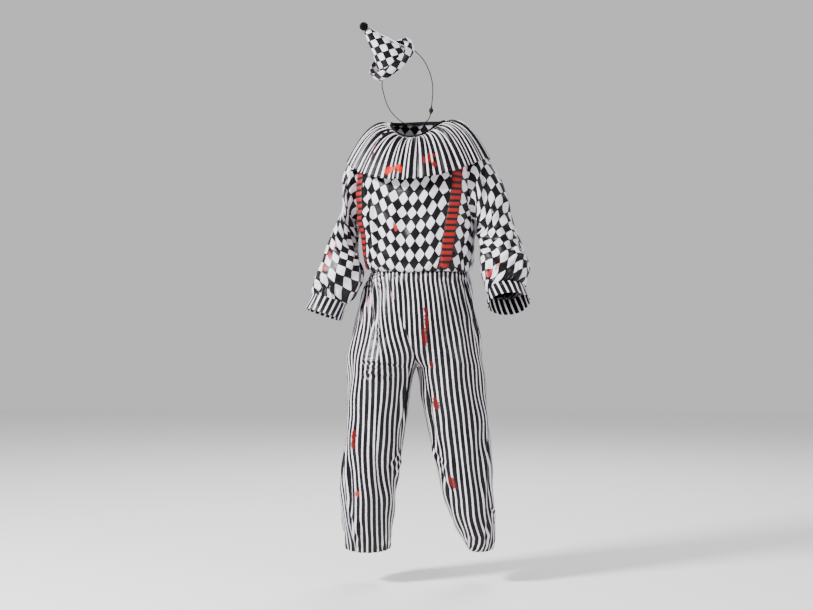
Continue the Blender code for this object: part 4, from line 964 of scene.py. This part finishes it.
LEFT_LEG_FRONT = [
    Fold(0.163, -0.490, 0.204, -0.750, 0.007, -0.0075, 0.004),
    Fold(0.143, -0.500, 0.177, -0.714, 0.009, 0.0060, 0.004),
    Fold(0.187, -0.540, 0.218, -0.780, 0.007, -0.0075, 0.003),
    Fold(0.100, -0.490, 0.120, -0.660, 0.012, -0.0045, 0.004),
    Fold(0.010, -0.780, 0.080, -0.690, 0.013, -0.0048, 0.008),
    Fold(0.024, -0.850, 0.070, -1.100, 0.009, -0.0075, -0.004),
    Fold(0.044, -1.060, 0.088, -1.130, 0.008, -0.0054, 0.004),
    Fold(0.061, -1.100, 0.110, -1.150, 0.008, 0.0040, 0.000),
    Fold(0.068, -1.130, 0.116, -1.260, 0.009, -0.0045, -0.005),
    Fold(0.130, -0.900, 0.160, -1.250, 0.016, -0.0045, 0.006),
    Fold(0.235, -1.020, 0.244, -1.260, 0.008, -0.0075, 0.003),
    Fold(0.215, -1.150, 0.232, -1.330, 0.010, 0.0053, 0.004),
    Fold(0.245, -1.270, 0.262, -1.335, 0.007, -0.0090, 0.000),
    Fold(0.180, -1.300, 0.205, -1.410, 0.008, -0.0075, 0.000),
    Fold(0.225, -1.310, 0.232, -1.410, 0.008, -0.0083, 0.002),
]
RIGHT_LEG_BACK = [
    Fold(-0.200, -0.800, -0.040, -0.850, 0.012, -0.0105, -0.010),
    Fold(-0.060, -0.560, -0.120, -0.740, 0.015, -0.0075, 0.010),
    Fold(-0.180, -0.880, -0.150, -1.080, 0.014, 0.0067, 0.006),
    Fold(-0.230, -1.080, -0.110, -1.100, 0.010, -0.0097, 0.008),
    Fold(-0.220, -1.140, -0.090, -1.150, 0.011, -0.0097, -0.008),
    Fold(-0.110, -1.180, -0.120, -1.350, 0.012, -0.0075, 0.006),
    Fold(-0.200, -1.220, -0.210, -1.400, 0.010, 0.0075, 0.003),
]
LEFT_LEG_BACK = [
    Fold(0.190, -0.800, 0.030, -0.850, 0.012, -0.0105, 0.010),
    Fold(0.050, -0.560, 0.120, -0.740, 0.015, -0.0075, -0.010),
    Fold(0.120, -0.880, 0.150, -1.060, 0.014, 0.0067, 0.006),
    Fold(0.220, -1.080, 0.100, -1.110, 0.010, -0.0097, -0.008),
    Fold(0.230, -1.140, 0.110, -1.160, 0.011, -0.0097, 0.008),
    Fold(0.150, -1.190, 0.190, -1.350, 0.012, -0.0075, 0.006),
    Fold(0.230, -1.220, 0.240, -1.400, 0.010, 0.0075, 0.003),
]
# How the stripes run on the fronts: where the third, sixth and ninth stripes from the middle lie at each
# height on the left leg, and every third stripe from the outer edge on the right leg, with a pleat beside
# its second one that hides cloth down to the thigh.
Grain = namedtuple("Grain", "z first second third")
GRAINS = {
    1: [
        Grain(-0.512, 0.0085, 0.0551, 0.0986),
        Grain(-0.578, 0.0159, 0.0644, 0.1119),
        Grain(-0.645, 0.0212, 0.0727, 0.1262),
        Grain(-0.711, 0.0248, 0.0823, 0.1392),
        Grain(-0.778, 0.0311, 0.0896, 0.1472),
        Grain(-0.844, 0.0378, 0.0963, 0.1538),
        Grain(-0.911, 0.0474, 0.1036, 0.1611),
        Grain(-0.977, 0.0577, 0.1129, 0.1694),
        Grain(-1.044, 0.0657, 0.1202, 0.1754),
        Grain(-1.110, 0.0747, 0.1279, 0.1824),
        Grain(-1.177, 0.0830, 0.1355, 0.1907),
        Grain(-1.243, 0.0916, 0.1428, 0.1990),
        Grain(-1.310, 0.1023, 0.1502, 0.2060),
        Grain(-1.376, 0.1239, 0.1708, 0.2239),
    ],
    -1: [
        Grain(-0.512, -0.1647, -0.1411, -0.1291),
        Grain(-0.578, -0.1730, -0.1407, -0.1284),
        Grain(-0.645, -0.1863, -0.1377, -0.1244),
        Grain(-0.711, -0.1972, -0.1447, -0.1161),
        Grain(-0.778, -0.2052, -0.1557, -0.1038),
        Grain(-0.844, -0.2102, -0.1587, -0.1008),
        Grain(-0.911, -0.2129, -0.1613, -0.1038),
        Grain(-0.977, -0.2185, -0.1637, -0.1105),
        Grain(-1.044, -0.2215, -0.1667, -0.1151),
        Grain(-1.110, -0.2202, -0.1670, -0.1181),
        Grain(-1.177, -0.2135, -0.1637, -0.1138),
        Grain(-1.243, -0.2069, -0.1567, -0.1068),
        Grain(-1.310, -0.2082, -0.1557, -0.1048),
        Grain(-1.376, -0.2036, -0.1534, -0.1071),
    ],
}
GRAIN_STEP = 3 * STRIPE_PITCH


def grain_across(panel, grains, drawn, pleated):
    """The print's place across a front panel, so that its stripes follow the grain lines given.

    A pleat lies between the second and third lines where that is asked: it hides the stripes that find
    no room there, so those beside it are cut off at its edge."""
    across = np.zeros_like(panel.around)
    for i, z in enumerate(panel.points[:, panel.points.shape[1] // 2, 2]):
        shown = panel.normals[i, :, 1] < -0.05
        order = np.argsort(panel.points[i, shown, 0])
        xs, arcs = panel.points[i, shown, 0][order], panel.around[i, shown][order]
        sign = 1.0 if arcs[-1] > arcs[0] else -1.0
        places = [along(grains, "z", z, field) for field in ("first", "second", "third")]
        known = np.interp(places, xs, arcs) * sign
        # Where the leg turns away from view, a stripe keeps its woven width.
        widest = GRAIN_STEP / drawn[i] * 1.08
        known[0] = max(known[0], known[1] - widest)
        known[2] = min(known[2], known[1] + widest)
        if pleated:
            known[0] = min(known[0], known[1] - 0.75 * GRAIN_STEP / drawn[i])
        here = panel.around[i] * sign
        steps = np.array([0.0, GRAIN_STEP, 2 * GRAIN_STEP])
        inside = np.interp(here, known, steps)
        # Painted shade, in part: the stripes hidden in the pleat are real, but the print jumps within one column of
        # faces here, and the stripes squeezed into it show as a grey line that stands for the pleat's shadow line.
        if pleated and (known[2] - known[1]) * drawn[i] < GRAIN_STEP:
            pleat = (known[1] + known[2]) / 2
            inside = np.where((here > known[1]) & (here < pleat), steps[1] + (here - known[1]) * drawn[i], inside)
            inside = np.where((here >= pleat) & (here < known[2]), steps[2] + (here - known[2]) * drawn[i], inside)
        inside = np.where(here < known[0], (here - known[0]) * drawn[i], inside)
        across[i] = np.where(here > known[2], steps[2] + (here - known[2]) * drawn[i], inside)
    return across


TROUSER_MARKS = {
    (1, -1): [(0.0255, -0.612, 0.008, 0.012, 0.0, BLOOD), (0.0255, -0.650, 0.009, 0.034, 0.0, BLOOD),
              (0.024, -0.700, 0.010, 0.036, 0.0, BLOOD), (0.044, -0.796, 0.008, 0.018, 0.0, BLOOD),
              (0.060, -0.923, 0.014, 0.024, 0.1, BLOOD), (0.113, -1.187, 0.013, 0.024, 0.2, BLOOD)],
    (-1, -1): [(-0.214, -1.030, 0.011, 0.020, 0.0, BLOOD), (-0.214, -1.062, 0.009, 0.020, 0.0, BLOOD),
               (-0.205, -1.227, 0.008, 0.014, 0.0, "#a32a26"), (-0.170, -0.585, 0.008, 0.020, 0.1, "#c77a80"),
               (-0.048, -0.548, 0.007, 0.014, 0.0, "#c77a80")],
}
heights = np.concatenate([np.linspace(HIPS[0].z, CROTCH_Z, 81), np.linspace(CROTCH_Z, HEM_Z, 161)[1:]])
for hand, label, front_folds, back_folds in ((1, "left", LEFT_LEG_FRONT, LEFT_LEG_BACK),
                                             (-1, "right", RIGHT_LEG_FRONT, RIGHT_LEG_BACK)):
    shares = np.linspace(0, 1, LEG_COLUMNS_FINE + 1)
    fronts = np.array([[trouser_point(s, z, hand, -1) for s in shares] for z in heights])
    backs = np.array([[trouser_point(s, z, hand, 1) for s in shares] for z in heights])
    whole = np.concatenate([backs[:, ::-1], fronts[:, 1:]], axis=1)
    leg = lay(whole, np.array([0.12 * hand, 0.0, -0.8]))
    rumple(leg, 71 + hand, 0.10, 0.0034)
    creases(leg, front_folds, -1)
    creases(leg, back_folds, 1)
    gathers(leg, 0, 1, 44, 0.085, 0.0045, 75 + hand)
    gathers(leg, -1, -1, 26, 0.060, 0.0050, 79 + hand)
    hold(leg, top=0.004, left=0.03, right=0.03)
    # The outseam draws the cloth in a little along its whole length.
    leg.height[...] -= 0.0012 * np.exp(-(leg.around / 0.003) ** 2)
    points = puckered(leg)
    drawn = 1 + 0.14 * smooth(-0.95, -0.60, heights) + 0.06 * smooth(-0.60, -0.483, heights)
    drawn = drawn + 0.10 * smooth(-1.33, -1.42, heights)
    middle = LEG_COLUMNS_FINE
    for side, face in ((-1, "front"), (1, "back")):
        part = slice(middle, None) if side < 0 else slice(0, middle + 1)
        panel = Cloth(leg.points[:, part], leg.normals[:, part], leg.around[:, part], leg.down[:, part], None,
                      leg.height[:, part])
        across = (grain_across(panel, GRAINS[hand], drawn, hand < 0) if side < 0
                  else leg.around[:, part] * (1 + 0.3 * (drawn[:, None] - 1)))
        stains = stained(panel, across, panel.down, TROUSER_MARKS.get((hand, side), []))
        outer = printed_satin("trouser satin, %s %s" % (face, label), "stripes", stains=stains)
        inner = printed_satin("trouser satin, %s %s, wrong side" % (face, label), "stripes", wrong_side=True)
        name = "trouser_%s_%s" % (face, label)
        piece = satin_piece(name, points[:, part], across, panel.down, [outer, inner], outward=panel.normals)
        finish_piece(piece, "satin_stripe", name)


# Hat: a blunt cone and a turned-up brim, both of printed satin over a stiff lining, sewn together at the
# base of the cone. It is tipped over the wearer's right brow.
HAT_BASE = np.array([-0.090, -0.030, 0.240])
HAT_TOP = np.array([-0.1717, -0.083, 0.3264])
HAT_BASE_RADIUS, HAT_TOP_RADIUS = 0.060, 0.014
BRIM_FOLD = -0.024
HAT_COLUMNS = 96
HAT_AXIS = unit(HAT_TOP - HAT_BASE)
HAT_SIDE = unit(np.cross(np.array([0.0, 1.0, 0.0]), HAT_AXIS))
HAT_FRONT = np.cross(HAT_AXIS, HAT_SIDE)
HAT_HEIGHT = float(np.linalg.norm(HAT_TOP - HAT_BASE))
# The seams of cone and brim are at the back, a quarter turn on.
HAT_TURNS = np.linspace(0, 2 * math.pi, HAT_COLUMNS + 1) + math.pi / 2


def hat_point(radius, height, turn):
    """A point round the hat's axis."""
    return (HAT_BASE + HAT_AXIS * height + HAT_SIDE * radius * math.cos(turn) + HAT_FRONT * radius * math.sin(turn))


def hat_grid(profile, count):
    """A turned grid from a profile of radius and height."""
    line = finer(np.array(profile), count, 0, False)
    return np.array([[hat_point(r, h, turn) for turn in HAT_TURNS] for r, h in line])


HAT_CHECK = 0.036
HAT_CHECK_TURN = math.radians(25)
HAT_FAN = 0.36
HAT_TIP_SLANT = 0.030
CONE_PROFILE = [(HAT_BASE_RADIUS, 0.0), (0.046, 0.036), (0.033, 0.070), (0.022, 0.100),
                (HAT_TOP_RADIUS, HAT_HEIGHT - 0.004), (0.008, HAT_HEIGHT), (0.0005, HAT_HEIGHT + 0.0005)]
BRIM_PROFILE = [(HAT_BASE_RADIUS, -0.0003), (0.070, -0.018), (0.080, BRIM_FOLD), (0.0885, -0.010), (0.0880, 0.012)]
for name, profile, count, size in (("hat_cone", CONE_PROFILE, 41, (0.30, 0.15)),
                                   ("hat_brim", BRIM_PROFILE, 31, (0.55, 0.07))):
    grid = hat_grid(profile, count)
    hat = lay(grid, HAT_BASE + HAT_AXIS * 0.05, ring=True, middle=0)
    rumple(hat, 91 + count, 0.05, 0.0010)
    gathers(hat, 0, 1, 14, 0.018, 0.0012, 93 + count)
    hold(hat, top=0.003)
    # The cone is cut as a fan, so its squares stand straight in front and slant towards the seam behind.
    fan = (HAT_TURNS - 1.5 * math.pi)[None, :] * HAT_FAN
    if name == "hat_cone":
        slant = hat.down[-1:] - hat.down + HAT_TIP_SLANT
        across, rows = slant * np.sin(fan), slant * np.cos(fan)
    else:
        across, rows = np.broadcast_to(fan / HAT_FAN * 0.076, hat.down.shape), hat.down
    outer = printed_satin("%s satin, checks" % name, "diamonds", turn=HAT_CHECK_TURN, tall=HAT_CHECK)
    inner = printed_satin("%s satin, wrong side" % name, "diamonds", turn=HAT_CHECK_TURN, tall=HAT_CHECK,
                          wrong_side=name == "hat_cone")
    piece = satin_piece(name, puckered(hat), across, rows, [outer, inner], thick=0.0014, outward=hat.normals)
    finish_piece(piece, "hat_cloth", name)

# Pompom: a ball of black yarn ends tied at the hat's tip, each a separate lock.
POMPOM_RADIUS = 0.0155
middle = HAT_TOP + HAT_AXIS * 0.0160
chance = np.random.default_rng(5)
yarn_points, yarn_faces = [], []
LOCKS = 520
for k in range(LOCKS):
    rise = 1 - 2 * (k + 0.5) / LOCKS
    turn = k * math.pi * (3 - math.sqrt(5))
    way = np.array([math.sqrt(1 - rise * rise) * math.cos(turn), math.sqrt(1 - rise * rise) * math.sin(turn), rise])
    way = unit(way + chance.normal(0, 0.13, 3))
    side = unit(np.cross(way, np.array([0.3, 0.5, 0.8])))
    other = np.cross(way, side)
    bend = side * chance.uniform(-0.003, 0.003) + other * chance.uniform(-0.003, 0.003)
    length = POMPOM_RADIUS * chance.uniform(0.88, 1.0)
    base = len(yarn_points)
    for share, thick in ((0.15, 0.0013), (0.6, 0.0012), (0.9, 0.0010), (1.0, 0.0003)):
        for corner in range(4):
            a = corner * math.pi / 2 + share
            yarn_points.append(middle + way * length * share + bend * share**2
                               + (side * math.cos(a) + other * math.sin(a)) * thick)
    for ring in range(3):
        for corner in range(4):
            a, b = base + ring * 4 + corner, base + ring * 4 + (corner + 1) % 4
            yarn_faces.append((a, b, b + 4, a + 4))
    yarn_faces.append(tuple(base + 12 + corner for corner in range(4)))
yarn_mesh = bpy.data.meshes.new("hat_pompom")
yarn_mesh.from_pydata([tuple(p) for p in yarn_points], [], yarn_faces)
yarn_mesh.shade_smooth()
yarn = bpy.data.materials.new("acrylic yarn")
yarn.use_nodes = True
tree = yarn.node_tree
shader = tree.nodes["Principled BSDF"]
shader.inputs["Base Color"].default_value = linear("#070608")
shader.inputs["Roughness"].default_value = 0.9
shader.inputs["Specular IOR Level"].default_value = 0.15
shader.inputs["Sheen Weight"].default_value = 0.05
fibres = add(tree, "ShaderNodeTexNoise", {"Scale": 900.0, "Detail": 2.0})
fibre_bump = add(tree, "ShaderNodeBump", {"Height": fibres.outputs["Fac"], "Strength": 0.6, "Distance": 0.0005})
tree.links.new(fibre_bump.outputs["Normal"], shader.inputs["Normal"])
yarn_mesh.materials.append(yarn)
pompom = bpy.data.objects.new("hat_pompom", yarn_mesh)
bpy.context.scene.collection.objects.link(pompom)
finish_piece(pompom, "yarn", "hat_pompom")

# Chin elastic: thin round covered elastic from one side of the hat under the chin to the other, tied once.
ELASTIC_RADIUS = 0.0015
ELASTIC_SEAT = BRIM_FOLD - 0.0008 - ELASTIC_RADIUS
ELASTIC_END_RADIUS = 0.079
KNOT_AT, KNOT_RADIUS, KNOT_SPREAD = 0.36, 0.0062, 0.014
Place = namedtuple("Place", "share x y z")
ELASTIC = [
    Place(0.00, *hat_point(ELASTIC_END_RADIUS, ELASTIC_SEAT, 0.5 * math.pi / 10)),
    Place(0.10, 0.0220, -0.026, 0.2300),
    Place(0.22, 0.0480, -0.044, 0.1560),
    Place(0.34, 0.0450, -0.072, 0.0700),
    Place(0.42, 0.0340, -0.094, 0.0250),
    Place(0.52, -0.0060, -0.118, 0.0000),
    Place(0.62, -0.0560, -0.112, 0.0160),
    Place(0.72, -0.0960, -0.090, 0.0600),
    Place(0.87, -0.1190, -0.068, 0.1280),
    Place(1.00, *hat_point(ELASTIC_END_RADIUS, ELASTIC_SEAT, 11.0 * math.pi / 10)),
]
ELASTIC_STEPS, ELASTIC_SIDES = 300, 12


def elastic_point(share):
    """A point of the elastic's middle line."""
    return np.array([along(ELASTIC, "share", share, axis) for axis in "xyz"])


rings = []
for i in range(ELASTIC_STEPS + 1):
    share = i / ELASTIC_STEPS
    run = unit(elastic_point(min(share + 0.01, 1.0)) - elastic_point(max(share - 0.01, 0.0)))
    flat = unit(np.cross(run, np.array([0.0, 1.0, 0.0])))
    rise = np.cross(run, flat)
    radius = ELASTIC_RADIUS + KNOT_RADIUS * math.exp(-((share - KNOT_AT) / KNOT_SPREAD) ** 2)
    rings.append([elastic_point(share) + radius * (flat * math.cos(a) + rise * math.sin(a))
                  for a in np.linspace(0, 2 * math.pi, ELASTIC_SIDES + 1)])
cord = np.array(rings)
covered = bpy.data.materials.new("covered elastic")
covered.use_nodes = True
tree = covered.node_tree
shader = tree.nodes["Principled BSDF"]
shader.inputs["Base Color"].default_value = linear("#070608")
shader.inputs["Roughness"].default_value = 0.7
shader.inputs["Specular IOR Level"].default_value = 0.2
spot = add(tree, "ShaderNodeUVMap", uv_map="print")
braid = add(tree, "ShaderNodeTexWave", {"Vector": spot.outputs["UV"], "Scale": 300.0}, bands_direction="DIAGONAL")
braid_bump = add(tree, "ShaderNodeBump", {"Height": braid.outputs["Fac"], "Strength": 0.5, "Distance": 0.0002})
tree.links.new(braid_bump.outputs["Normal"], shader.inputs["Normal"])
piece = satin_piece("hat_elastic", cord, lengths(cord, 1, 0), lengths(cord, 0, 0), [covered],
                    outward=unit(cord - cord[:, :-1].mean(axis=1, keepdims=True)))
piece.modifiers.clear()
finish_piece(piece, "elastic", "hat_elastic")
